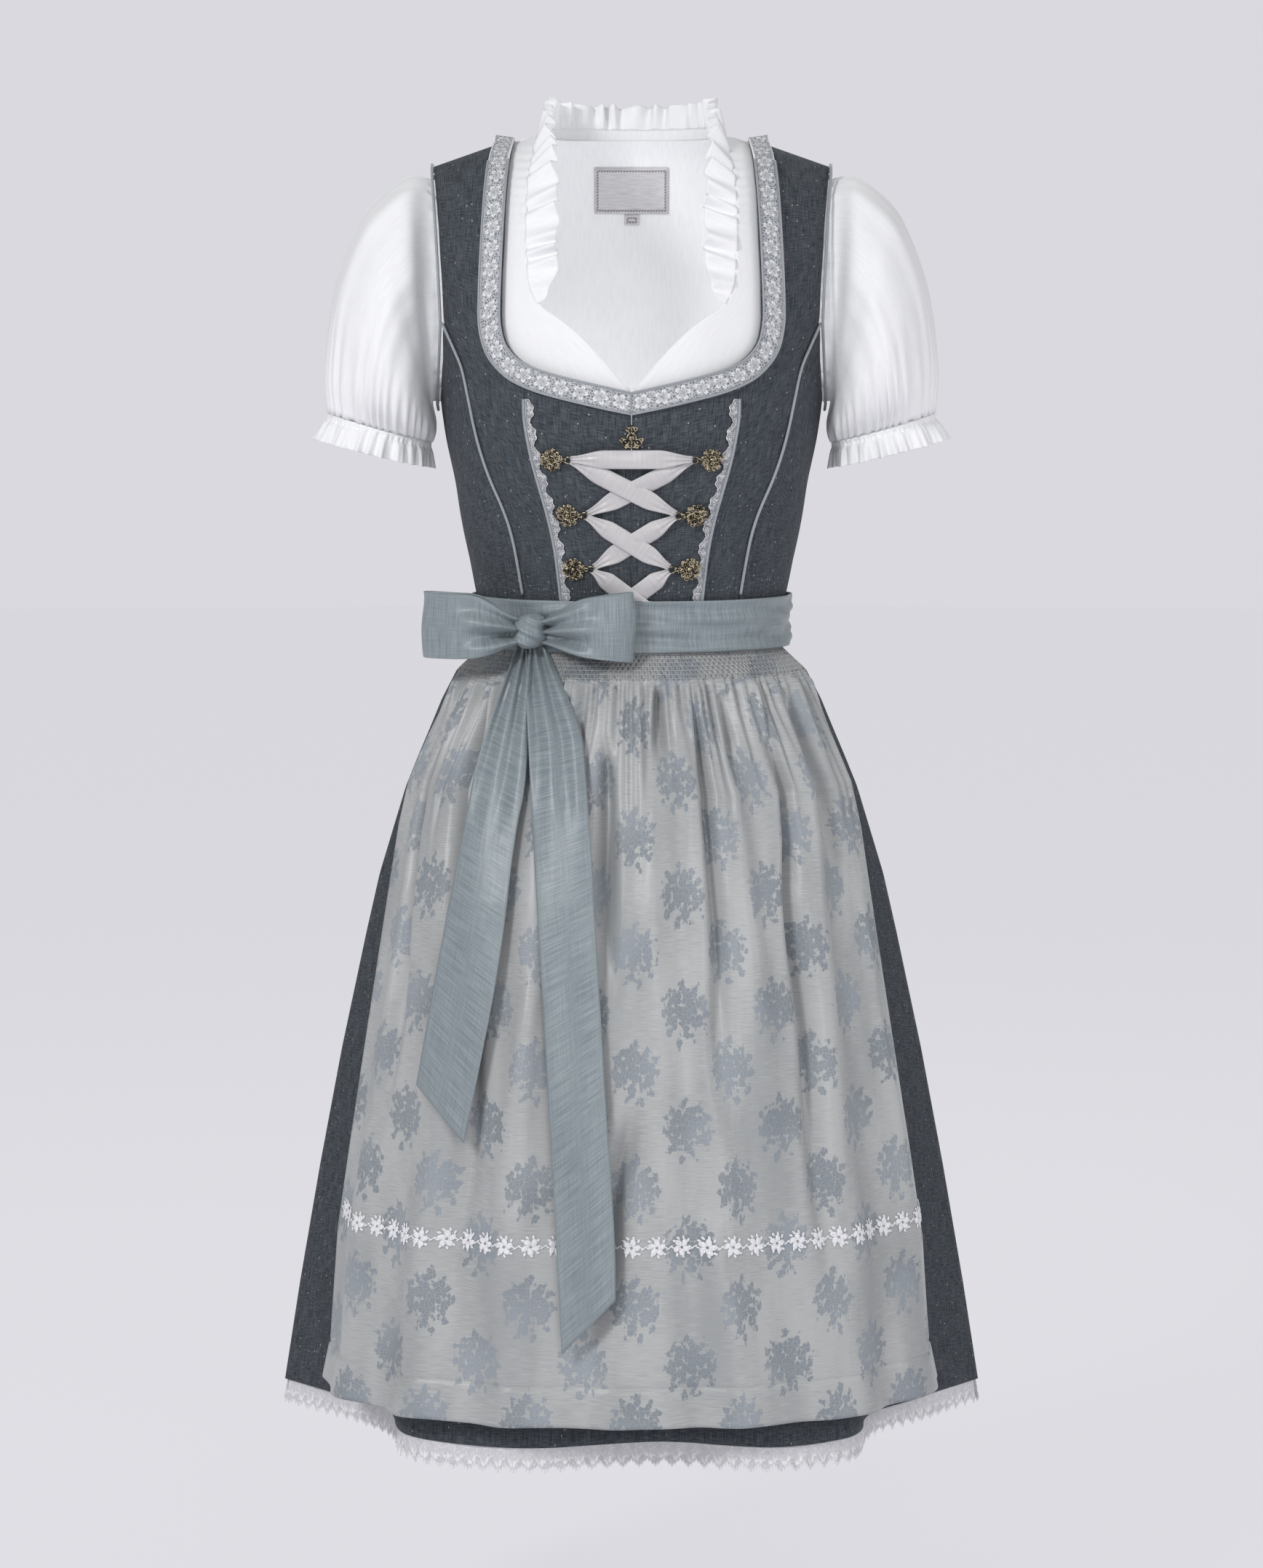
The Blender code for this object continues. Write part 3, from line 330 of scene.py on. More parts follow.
@dataclass(frozen=True)
class Lace:
    """White lace with open meshes, over a named ground that shows through them."""

    name: str
    ground: Colour
    pitch: float
    width: float
    white: Colour = (0.84, 0.84, 0.86)
    mesh: float = 620.0
    openness: float = 1.0
    filling: float = 0.75
    bloom: float = 0.26

    def make(self) -> bpy.types.Material:
        """Builds the material."""
        w = Wire(self.name)
        place = w.cloth_place()
        x, y = w.split(place)
        along = w.sum("SUBTRACT", w.sum("FRACT", w.sum("DIVIDE", x, self.pitch)), 0.5)
        along = w.sum("MULTIPLY", along, self.pitch)
        up = w.sum("SUBTRACT", y, self.width * 0.5)
        reach = w.sum("SQRT", w.sum("ADD", w.sum("MULTIPLY", along, along), w.sum("MULTIPLY", up, up)))
        turn = w.sum("ARCTAN2", up, along)
        petal = w.sum("ABSOLUTE", w.sum("COSINE", w.sum("MULTIPLY", turn, 2.5)))
        size = w.sum("MULTIPLY_ADD", petal, self.width * self.bloom, self.width * self.bloom * 0.62)
        share = w.sum("DIVIDE", reach, size)
        flower = w.sum("MULTIPLY", w.ramp(share, 1.12, 0.92),
                       w.sum("MULTIPLY_ADD", w.ramp(share, 0.55, 0.82), 0.65, 0.35))
        eye = w.ramp(reach, self.width * 0.05, self.width * 0.08)
        veins = w.ramp(w.sum("ABSOLUTE", w.sum("SINE", w.sum("MULTIPLY", turn, 7.5))), 0.12, 0.4)
        flower = w.sum("MULTIPLY", flower, w.sum("MULTIPLY", eye, w.sum("MULTIPLY_ADD", veins, 0.5, 0.5)))
        net = w.cells(w.scaled(place, (self.mesh, self.mesh, 1.0)), "DISTANCE_TO_EDGE")
        net = w.ramp(net, 0.20, 0.09)
        leaf = w.ramp(w.noise(w.scaled(place, (330.0, 380.0, 1.0)), detail=2.0), 0.50, 0.60)
        rims = w.sum("MAXIMUM", w.ramp(y, self.width * 0.08, self.width * 0.04),
                     w.ramp(y, self.width * 0.92, self.width * 0.96))
        leaf = w.sum("MULTIPLY", leaf, self.filling)
        between = w.sum("MAXIMUM", w.sum("MULTIPLY", net, self.filling), w.sum("MAXIMUM", leaf, rims))
        thread = w.sum("MAXIMUM", flower, between)
        shown = w.sum("MAXIMUM", thread, 1.0 - self.openness)
        w.colour(w.blend(shown, self.ground, self.white))
        w.shine(Roughness=0.75, Specular_IOR_Level=0.3, Sheen_Weight=0.1)
        w.bump(thread, 0.8, 0.0005)
        return w.material


@dataclass(frozen=True)
class Embroidery:
    """White embroidery thread, its stitches raised, with painted bluish shade spread over it by a fine
    noise.
    """

    white: Colour = (0.88, 0.88, 0.91)
    shade: Colour = (0.55, 0.56, 0.62)

    def make(self) -> bpy.types.Material:
        """Builds the material."""
        w = Wire("embroidery")
        place = w.cloth_place()
        stitches = w.sum("ABSOLUTE", w.sum("SINE", w.sum("MULTIPLY", w.split(place)[1], 4200.0)))
        grain = w.noise(w.scaled(w.object_place(), (900.0, 900.0, 900.0)), detail=2.0)
        # Painted shade: a fine noise spreads the bluish shade colour, which stands for shade in the gaps
        # between the stitches
        w.colour(w.blend(w.ramp(grain, 0.3, 0.5), self.shade, self.white))
        w.shine(Roughness=0.55, Sheen_Weight=0.2)
        w.bump(w.sum("MULTIPLY", stitches, grain), 0.8, 0.0004)
        return w.material


@dataclass(frozen=True)
class Satin:
    """Woven satin or taffeta: a base colour, slubs along the weft and stitched edges."""

    name: str
    dark: Colour
    light: Colour
    roughness: float
    width: float
    slub: float = 0.4
    inset: float = 0.0
    crease: float = 0.0

    def make(self) -> bpy.types.Material:
        """Builds the material."""
        w = Wire(self.name)
        place = w.cloth_place()
        weft = w.noise(w.scaled(place, (1100.0, 40.0, 1.0)), detail=3.0)
        warp = w.noise(w.scaled(place, (30.0, 1100.0, 1.0)), detail=2.0)
        slubs = w.sum("MULTIPLY_ADD", weft, 0.7, w.sum("MULTIPLY", warp, 0.3))
        w.colour(w.blend(w.ramp(slubs, 0.34, 0.66), self.dark, self.light))
        w.shine(Roughness=self.roughness, Specular_IOR_Level=0.5, Sheen_Weight=0.25,
                Sheen_Roughness=0.35, Anisotropic=0.4)
        w.bump(w.threads(place, 1600.0, 1600.0), 0.3, 0.00008)
        w.bump(slubs, self.slub, 0.0003)
        if self.crease:
            w.bump(w.noise(w.scaled(place, (16.0, 60.0, 1.0)), detail=3.0), self.crease, 0.0025)
        if self.inset:
            x, y = w.split(place)
            near = w.sum("SUBTRACT", w.sum("ABSOLUTE", w.sum("SUBTRACT", y, self.width / 2)),
                         self.width / 2 - self.inset)
            line = w.ramp(w.sum("ABSOLUTE", near), 0.00035, 0.0001)
            dash = w.ramp(w.sum("SINE", w.sum("MULTIPLY", x, 2 * math.pi / 0.0026)), -0.5, 0.2)
            w.bump(w.sum("MULTIPLY", line, dash), -0.8, 0.0004)
        return w.material


@dataclass(frozen=True)
class Jacquard:
    """Silver satin with a woven flower spray repeated in a half drop, and painted sheen in broad lighter
    patches of its ground and figure.
    """

    ground: Colour = (0.330, 0.342, 0.348)
    # Painted sheen: the ground's lighter copy
    ground_light: Colour = (0.440, 0.450, 0.452)
    figure: Colour = (0.182, 0.212, 0.246)
    # Painted sheen: the figure's lighter copy
    figure_light: Colour = (0.262, 0.298, 0.342)
    thread: Colour = (0.62, 0.63, 0.64)
    repeat: tuple[float, float] = (0.106, 0.088)
    stretch: float = 1.45
    smocked: float = 0.5690
    smock_row: float = 0.0046
    smock_pitch: float = 0.0100
    # Lobes of the spray: middle across and up, half length, half width, turn; millimetres, degrees
    lobes: tuple[tuple[float, float, float, float, float], ...] = (
        (0.0, 2.0, 9.0, 8.0, 0.0), (-9.0, 7.0, 6.5, 4.5, 35.0), (9.5, 5.0, 6.5, 4.5, -30.0),
        (-3.0, 15.0, 6.5, 5.0, 70.0), (6.0, 14.0, 5.0, 4.0, 40.0), (1.0, 23.0, 4.5, 2.6, 85.0),
        (-8.5, 20.0, 3.8, 2.2, 120.0), (-13.5, 13.0, 3.5, 2.2, 150.0), (14.0, 11.5, 3.6, 2.4, 30.0),
        (-10.0, -4.0, 6.0, 3.8, -40.0), (9.0, -6.0, 6.5, 3.8, 35.0), (-2.0, -12.0, 6.0, 3.4, 80.0),
        (3.5, -20.0, 4.5, 2.2, 100.0), (-14.5, -11.0, 3.2, 2.0, 40.0), (-6.5, -18.0, 3.4, 1.8, 60.0),
        (12.0, -13.5, 3.2, 2.0, -50.0), (10.5, 20.0, 2.8, 1.8, 60.0), (15.0, 1.0, 3.0, 2.0, 10.0),
        (-15.5, 3.0, 2.8, 1.8, 170.0),
    )

    def spray(self, across: Array, up: Array) -> Array:
        """How far each place of the cloth lies from the nearest spray's lobes.

        Args:
            across: Places across the flat cloth, in metres.
            up: Places along it.

        Returns:
            The lowest lobe distance, 1 on a lobe's edge.
        """
        nearest = np.full(np.broadcast(across, up).shape, 2.5)
        wide, tall = self.repeat
        for shift in (0.0, 0.5):
            x = ((across / wide + shift) % 1.0 - 0.5) * wide * 1000.0 / self.stretch
            x = x if shift else -x
            y = ((up / tall + shift) % 1.0 - 0.5) * tall * 1000.0
            for middle, height, length, width, turn in self.lobes:
                c, s = math.cos(math.radians(turn)), math.sin(math.radians(turn))
                a, b = x - middle, y - height
                lobe = np.hypot((a * c + b * s) / length, (b * c - a * s) / width)
                nearest = np.minimum(nearest, lobe)
        return nearest

    def make(self) -> bpy.types.Material:
        """Builds the material."""
        w = Wire("jacquard")
        place = w.node("Attribute", attribute_name="figure_place").outputs["Vector"]
        shape = w.node("Attribute", attribute_name="spray").outputs["Fac"]
        flat = w.cloth_place()
        grid = w.scaled(place, (235.0, 200.0, 1.0))
        ragged = w.noise(w.scaled(place, (180.0, 180.0, 1.0)), detail=4.0, rough=0.7)
        reach = w.sum("MULTIPLY_ADD", w.cells(grid), 0.8, w.sum("MULTIPLY_ADD", ragged, 3.0, shape))
        body = w.ramp(reach, 2.90, 2.74)
        veins = w.ramp(w.cells(grid, "DISTANCE_TO_EDGE"), 0.012, 0.070)
        curls = w.ramp(w.cells(w.scaled(place, (470.0, 430.0, 1.0)), "DISTANCE_TO_EDGE"), 0.02, 0.10)
        leaves = w.sum("MULTIPLY_ADD", veins, 0.5, 0.5)
        figure = w.sum("MULTIPLY", body, w.sum("MULTIPLY", leaves, w.sum("MULTIPLY_ADD", curls, 0.5, 0.5)))
        # Painted sheen: broad noise patches turn the figure from its darker colour to its lighter copy
        cast = w.ramp(w.noise(w.scaled(place, (13.0, 10.0, 1.0)), detail=1.0), 0.38, 0.62)
        weft = w.noise(w.scaled(flat, (60.0, 1300.0, 1.0)), detail=2.0)
        # Painted sheen: a broad noise cloud, together with the weft's real streaks, turns the ground to its
        # lighter copy
        cloud = w.noise(w.scaled(place, (16.0, 7.0, 1.0), shift=(2.0, 5.0, 0.0)), detail=2.0)
        ground = w.blend(w.ramp(w.sum("MULTIPLY_ADD", cloud, 1.4, weft), 0.92, 1.48), self.ground,
                         self.ground_light)
        drawn = w.blend(cast, self.figure, self.figure_light)
        cloth = w.blend(w.sum("MULTIPLY", figure, 0.9), ground, drawn)
        x, y = w.split(flat)
        smocked = w.ramp(y, self.smocked - 0.002, self.smocked + 0.001)
        row = w.sum("DIVIDE", y, self.smock_row)
        stitched = w.sum("ABSOLUTE", w.sum("SINE", w.sum("MULTIPLY", row, math.pi)))
        turn = w.sum("MULTIPLY_ADD", x, math.tau / self.smock_pitch,
                     w.sum("MULTIPLY", w.sum("FLOOR", row), math.pi))
        tucks = w.sum("MULTIPLY", w.sum("MULTIPLY_ADD", w.sum("SINE", turn), 0.5, 0.5),
                      w.ramp(stitched, 0.05, 0.55))
        thread = w.sum("MULTIPLY", smocked, w.ramp(stitched, 0.26, 0.10))
        w.colour(w.blend(w.sum("MULTIPLY", thread, 0.55), cloth, self.thread))
        w.put(w.shader.inputs["Roughness"], w.sum("MULTIPLY_ADD", figure, 0.16, 0.40))
        w.shine(Specular_IOR_Level=0.5, Sheen_Weight=0.1, Sheen_Roughness=0.4)
        w.bump(w.sum("MULTIPLY_ADD", weft, 0.4, figure), 0.30, 0.00025)
        w.bump(w.sum("MULTIPLY", smocked, tucks), 0.9, 0.0022)
        w.bump(w.noise(w.scaled(place, (30.0, 11.0, 1.0)), detail=3.0), 0.40, 0.0050)
        return w.material


@dataclass(frozen=True)
class Cord:
    """Grey satin piping with slanting threads."""

    hollow: Colour = (0.27, 0.29, 0.32)
    thread: Colour = (0.33, 0.355, 0.385)

    def make(self) -> bpy.types.Material:
        """Builds the material."""
        w = Wire("grey_cord")
        place = w.object_place()
        grain = w.noise(w.scaled(place, (1400.0, 1400.0, 900.0)), detail=2.0)
        w.colour(w.blend(w.ramp(grain, 0.35, 0.65), self.hollow, self.thread))
        w.shine(Roughness=0.5, Sheen_Weight=0.2)
        w.bump(grain, 0.5, 0.0002)
        return w.material


@dataclass(frozen=True)
class AntiqueMetal:
    """Cast brass gone dark in its hollows and bright on its convex edges; the bright edges are partly wear
    from rubbing and partly painted highlight.
    """

    bright: Colour = (0.62, 0.54, 0.38)
    dark: Colour = (0.035, 0.029, 0.021)

    def make(self) -> bpy.types.Material:
        """Builds the material."""
        w = Wire("antique_metal")
        place = w.object_place()
        pits = w.noise(w.scaled(place, (420.0, 420.0, 420.0)), detail=4.0, rough=0.6)
        edge = w.node("NewGeometry").outputs["Pointiness"]
        # Partly wear, partly painted highlight: the bright colour on convex edges, broken up by the pits
        rubbed_wear_and_highlight = w.sum("MULTIPLY", w.ramp(edge, 0.465, 0.60), w.ramp(pits, 0.38, 0.60))
        w.colour(w.blend(w.sum("MULTIPLY", rubbed_wear_and_highlight, 1.0, clamp=True), self.dark, self.bright))
        w.put(w.shader.inputs["Roughness"], w.sum("MULTIPLY_ADD", pits, 0.30, 0.18))
        w.shine(Metallic=1.0)
        w.bump(pits, 0.5, 0.0003)
        return w.material


@dataclass(frozen=True)
class LabelWeave:
    """A woven label with a stitched border and no words."""

    size: tuple[float, float]
    name: str = "label_weave"
    face: Colour = (0.50, 0.485, 0.50)
    face_light: Colour = (0.60, 0.59, 0.62)
    border: Colour = (0.12, 0.10, 0.11)

    def make(self) -> bpy.types.Material:
        """Builds the material."""
        w = Wire(self.name)
        place = w.cloth_place()
        x, y = w.split(place)
        side, end = (w.sum("SUBTRACT", length / 2, w.sum("ABSOLUTE", w.sum("SUBTRACT", part, length / 2)))
                     for part, length in zip((x, y), self.size))
        inset = w.sum("MINIMUM", side, end)
        frame_line = w.ramp(w.sum("ABSOLUTE", w.sum("SUBTRACT", inset, 0.0026)), 0.0009, 0.0006)
        stitch = w.ramp(w.sum("SINE", w.sum("MULTIPLY", w.sum("ADD", x, y), math.tau / 0.0024)), -0.5, -0.2)
        line = w.sum("MULTIPLY", frame_line, stitch)
        cloud = w.noise(w.scaled(place, (90.0, 900.0, 1.0)), detail=2.0)
        face = w.blend(w.ramp(cloud, 0.3, 0.7), self.face, self.face_light)
        w.colour(w.blend(line, face, self.border))
        w.shine(Roughness=0.5, Sheen_Weight=0.2)
        w.bump(w.sum("ADD", w.threads(place, 2600.0, 2600.0), w.sum("MULTIPLY", line, 2.0)), 0.4, 0.0001)
        return w.material


class Wardrobe:
    """Every finish of the outfit, each made once and read by name."""

    def __init__(self) -> None:
        """Makes the materials."""
        chambray_tone = (0.060, 0.074, 0.090)
        self.made: dict[str, bpy.types.Material] = {
            "chambray": Chambray().make(),
            "blouse_cotton": BlouseCotton().make(),
            "seam_lace": Lace("seam_lace", chambray_tone, 0.0060, 0.0080, mesh=760.0, filling=0.62,
                              bloom=0.15).make(),
            "neck_lace": Lace("neck_lace", (0.170, 0.190, 0.212), 0.0150, 0.0170, mesh=460.0, filling=0.55,
                              bloom=0.22).make(),
            "hem_lace": Lace("hem_lace", (0.52, 0.52, 0.56), 0.0120, 0.0300, openness=0.75,
                             filling=0.6).make(),
            "embroidery": Embroidery().make(),
            "grey_cord": Cord().make(),
            "satin_ribbon": Satin("satin_ribbon", (0.50, 0.485, 0.496), (0.58, 0.564, 0.576), 0.30,
                                  0.016, slub=0.15, crease=0.2).make(),
            "sash_cloth": Satin("sash_cloth", (0.172, 0.210, 0.229), (0.278, 0.322, 0.345), 0.38,
                                0.050, slub=0.45, inset=0.0030, crease=0.45).make(),
            "jacquard": Jacquard().make(),
            "antique_metal": AntiqueMetal().make(),
            "neck_label": LabelWeave((0.0626, 0.0380)).make(),
            "size_tab": LabelWeave((0.0125, 0.0088), "size_tab").make(),
        }

    def __getitem__(self, name: str) -> bpy.types.Material:
        """The material of a name."""
        return self.made[name]


def smooth(value: Any) -> Any:
    """An even ramp from 0 to 1."""
    value = np.clip(value, 0.0, 1.0)
    return value * value * (3.0 - 2.0 * value)


def softened(curve: Any, rounds: int = 2) -> Array:
    """Rounds a polyline's corners by cutting them, keeping its ends.

    Args:
        curve: The polyline's points.
        rounds: How often its corners are cut.

    Returns:
        The rounder polyline.
    """
    curve = np.asarray(curve, float)
    for _ in range(rounds):
        inner = np.empty((2 * len(curve) - 2, curve.shape[1]))
        inner[0::2] = curve[:-1] * 0.75 + curve[1:] * 0.25
        inner[1::2] = curve[:-1] * 0.25 + curve[1:] * 0.75
        curve = np.concatenate([curve[:1], inner[1:-1], curve[-1:]])
    return curve


def along(curve: Any, count: int, ease: float = 1.0) -> Array:
    """Reads a polyline at steps of its length.

    Args:
        curve: The polyline's points.
        count: How many points are read.
        ease: Above 1, the points crowd at the polyline's end.

    Returns:
        The points.
    """
    curve = np.asarray(curve, float)
    steps = np.linalg.norm(np.diff(curve, axis=0), axis=1)
    length = np.concatenate([[0.0], np.cumsum(steps)])
    part = 1.0 - (1.0 - np.linspace(0.0, 1.0, count)) ** ease
    return np.stack([np.interp(part * length[-1], length, column) for column in curve.T], axis=1)


def patch(bottom: Any, top: Any, left: Any, right: Any, columns: int, rows: int,
          ease: float = 1.0) -> Array:
    """A grid between four edge curves, its rows from the bottom edge to the top edge.

    Args:
        bottom: The lower edge, from left to right.
        top: The upper edge, from left to right.
        left: The left edge upwards.
        right: The right edge upwards.
        columns: Points across.
        rows: Points up; a side edge with as many points keeps them.
        ease: Above 1, the rows crowd at the top.

    Returns:
        The grid, rows by columns.
    """
    b, t = along(bottom, columns), along(top, columns)
    l, r = (edge if len(edge) == rows and isinstance(edge, np.ndarray) else along(edge, rows, ease)
            for edge in (left, right))
    v = (1.0 - (1.0 - np.linspace(0.0, 1.0, rows)) ** ease)[:, None, None]
    u = np.linspace(0.0, 1.0, columns)[None, :, None]
    sides = (1 - u) * l[:, None] + u * r[:, None]
    ends = (1 - v) * b[None] + v * t[None]
    corners = (1 - v) * ((1 - u) * b[0] + u * b[-1]) + v * ((1 - u) * t[0] + u * t[-1])
    return sides + ends - corners


def unit(vectors: Array) -> Array:
    """Vectors at length 1."""
    return vectors / np.maximum(np.linalg.norm(vectors, axis=-1, keepdims=True), 1e-9)


def facings(points: Array, closed: bool = False) -> Array:
    """Unit normals of a grid whose rows run up and whose columns run to its right.

    Args:
        points: The grid.
        closed: Whether each row's ends meet.

    Returns:
        A normal for each point.
    """
    across = np.gradient(points, axis=1)
    if closed:
        across = np.roll(points, -1, axis=1) - np.roll(points, 1, axis=1)
    return unit(np.cross(across, np.gradient(points, axis=0)))


def moved_out(points: Array, out: Any, closed: bool = False) -> Array:
    """Moves a grid along its own normals.

    Args:
        points: The grid.
        out: How far, one number or one for each point.
        closed: Whether each row's ends meet.

    Returns:
        The moved grid.
    """
    reach = np.broadcast_to(np.asarray(out, float), points.shape[:2])
    return points + facings(points, closed) * reach[..., None]


def mirrored(points: Array) -> Array:
    """The same grid on the other side of the middle, its columns turned so it still faces out."""
    flipped = points[:, ::-1].copy()
    flipped[..., 0] *= -1.0
    return flipped


def ripples(u: Array, v: Array, seed: int, waves: int = 9, lengths: tuple[float, float] = (1.0, 3.0),
            lean: float = 1.0) -> Array:
    """Soft uneven creases: a sum of waves with seeded lengths, headings and phases.

    Args:
        u: Places across.
        v: Places along.
        seed: The seed.
        waves: How many waves are added.
        lengths: The least and greatest number of waves to the unit.
        lean: Below 1 the creases run along v, above 1 along u.

    Returns:
        Heights, about -1 to 1.
    """
    chance = np.random.default_rng(seed)
    total = np.zeros(np.broadcast(u, v).shape)
    for _ in range(waves):
        turn, phase = chance.uniform(0.0, math.tau, 2)
        rate = chance.uniform(*lengths) * math.tau
        total = total + np.sin(rate * (u * math.cos(turn) + v * math.sin(turn) * lean) + phase)
    return total / math.sqrt(waves) * 0.7


def shares(points: Array) -> tuple[Array, Array]:
    """How far along its mean row and column each point of a grid lies, 0 to 1.

    Args:
        points: The grid.

    Returns:
        The shares across and along.
    """
    result = []
    for axis in (1, 0):
        steps = np.linalg.norm(np.diff(points, axis=axis), axis=2).mean(axis=1 - axis)
        whole = np.concatenate([[0.0], np.cumsum(steps)])
        result.append(whole / whole[-1])
    return result[0], result[1]


def new_piece(name: str, points: Array, faces: list[Any]) -> bpy.types.Object:
    """A smooth mesh object at the origin.

    Args:
        name: Its name.
        points: Its points, in any number of rows.
        faces: The points' numbers round each face.

    Returns:
        The object.
    """
    mesh = bpy.data.meshes.new(name)
    mesh.from_pydata(points.reshape(-1, 3).tolist(), [], faces)
    mesh.shade_smooth()
    piece = bpy.data.objects.new(name, mesh)
    bpy.context.scene.collection.objects.link(piece)
    return piece


def lay_flat(piece: bpy.types.Object, places: Array) -> None:
    """Stores each face corner's place on the flat cloth, in metres, in the UV map."""
    layer = piece.data.uv_layers.new(name="cloth")
    layer.data.foreach_set("uv", places.ravel().astype(np.float32))


@dataclass
class Cloth:
    """A piece of cloth on a grid of points that is its outer side."""

    name: str
    points: Array
    finish: str
    slot: str
    flat: tuple[float, float]
    held: Held = Held.DRAPED
    nodes: tuple[str, ...] = ()
    wall: float = CLOTH_WALL
    closed: bool = False
    turned: bool = False
    area: float | None = None
    woven: tuple[float, float] | None = None
    rests_on: tuple[str, ...] = ()

    def make(self, wardrobe: "Wardrobe") -> bpy.types.Object:
        """Builds the piece, dresses it and puts it on the garment.

        Args:
            wardrobe: Where its finish comes from.

        Returns:
            The piece.
        """
        rows, columns = self.points.shape[:2]
        steps = columns if self.closed else columns - 1
        r, c = (part.ravel() for part in np.mgrid[0:rows - 1, 0:steps])
        d = (c + 1) % columns
        faces = np.stack([r * columns + c, r * columns + d, (r + 1) * columns + d,
                          (r + 1) * columns + c], axis=1)
        piece = new_piece(self.name, self.points, faces.tolist())
        ring = np.concatenate([self.points, self.points[:, :1]], axis=1) if self.closed else self.points
        across, up = shares(ring)
        corners_u = across[np.stack([c, c + 1, c + 1, c], axis=1)]
        corners_v = up[np.stack([r, r, r + 1, r + 1], axis=1)]
        size = self.woven or self.flat
        place = np.stack([corners_u * size[0], corners_v * size[1]], axis=2)
        lay_flat(piece, place[..., ::-1] if self.turned else place)
        solid = piece.modifiers.new("wall", "SOLIDIFY")
        solid.thickness = self.wall
        solid.offset = -1.0
        wear(piece, wardrobe[self.finish], self.slot, self.nodes)
        return piece

    def both(self, wardrobe: "Wardrobe") -> None:
        """Builds the piece on the left and its mirror image, each with its side's ending."""
        for side in Side:
            own = self.points if side is Side.LEFT else mirrored(self.points)
            nodes = tuple(f"{node}_{side.tag}" for node in self.nodes)
            replace(self, name=f"{self.name}_{side.tag}", points=own, nodes=nodes).make(wardrobe)


def wear(piece: bpy.types.Object, material: bpy.types.Material, slot: str,
         nodes: Iterable[str] = ()) -> None:
    """Dresses a piece, puts it on the garment and reports it.

    Args:
        piece: The piece.
        material: Its finish.
        slot: The record's material slot.
        nodes: The nodes that it stands for.
    """
    piece.data.materials.clear()
    piece.data.materials.append(material)
    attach(piece, "root")
    if nodes:
        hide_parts(*nodes)
    LOG.info("%s: %d faces, %s", piece.name, len(piece.data.polygons), slot)


def rope(name: str, path: Array, radius: float, closed: bool = False, sides: int = 10) -> bpy.types.Object:
    """A round cord along a path.

    Args:
        name: The piece's name.
        path: The points of its middle line.
        radius: Its radius.
        closed: Whether its ends meet.
        sides: Points round it.

    Returns:
        The piece.
    """
    count = len(path)
    ahead = np.gradient(path, axis=0)
    if closed:
        ahead = np.roll(path, -1, axis=0) - np.roll(path, 1, axis=0)
    ahead = unit(ahead)
    beside = unit(np.cross(ahead, np.array((0.31, 0.62, 0.72))))
    over = np.cross(ahead, beside)
    turn = np.linspace(0.0, math.tau, sides, endpoint=False)
    around = (beside[:, None] * np.cos(turn)[None, :, None] + over[:, None] * np.sin(turn)[None, :, None])
    points = path[:, None] + around * radius
    r, c = (part.ravel() for part in np.mgrid[0:count if closed else count - 1, 0:sides])
    s, d = (r + 1) % count, (c + 1) % sides
    faces = np.stack([r * sides + c, r * sides + d, s * sides + d, s * sides + c], axis=1).tolist()
    if not closed:
        faces += [list(range(sides))[::-1], [(count - 1) * sides + k for k in range(sides)]]
    return new_piece(name, points, faces)


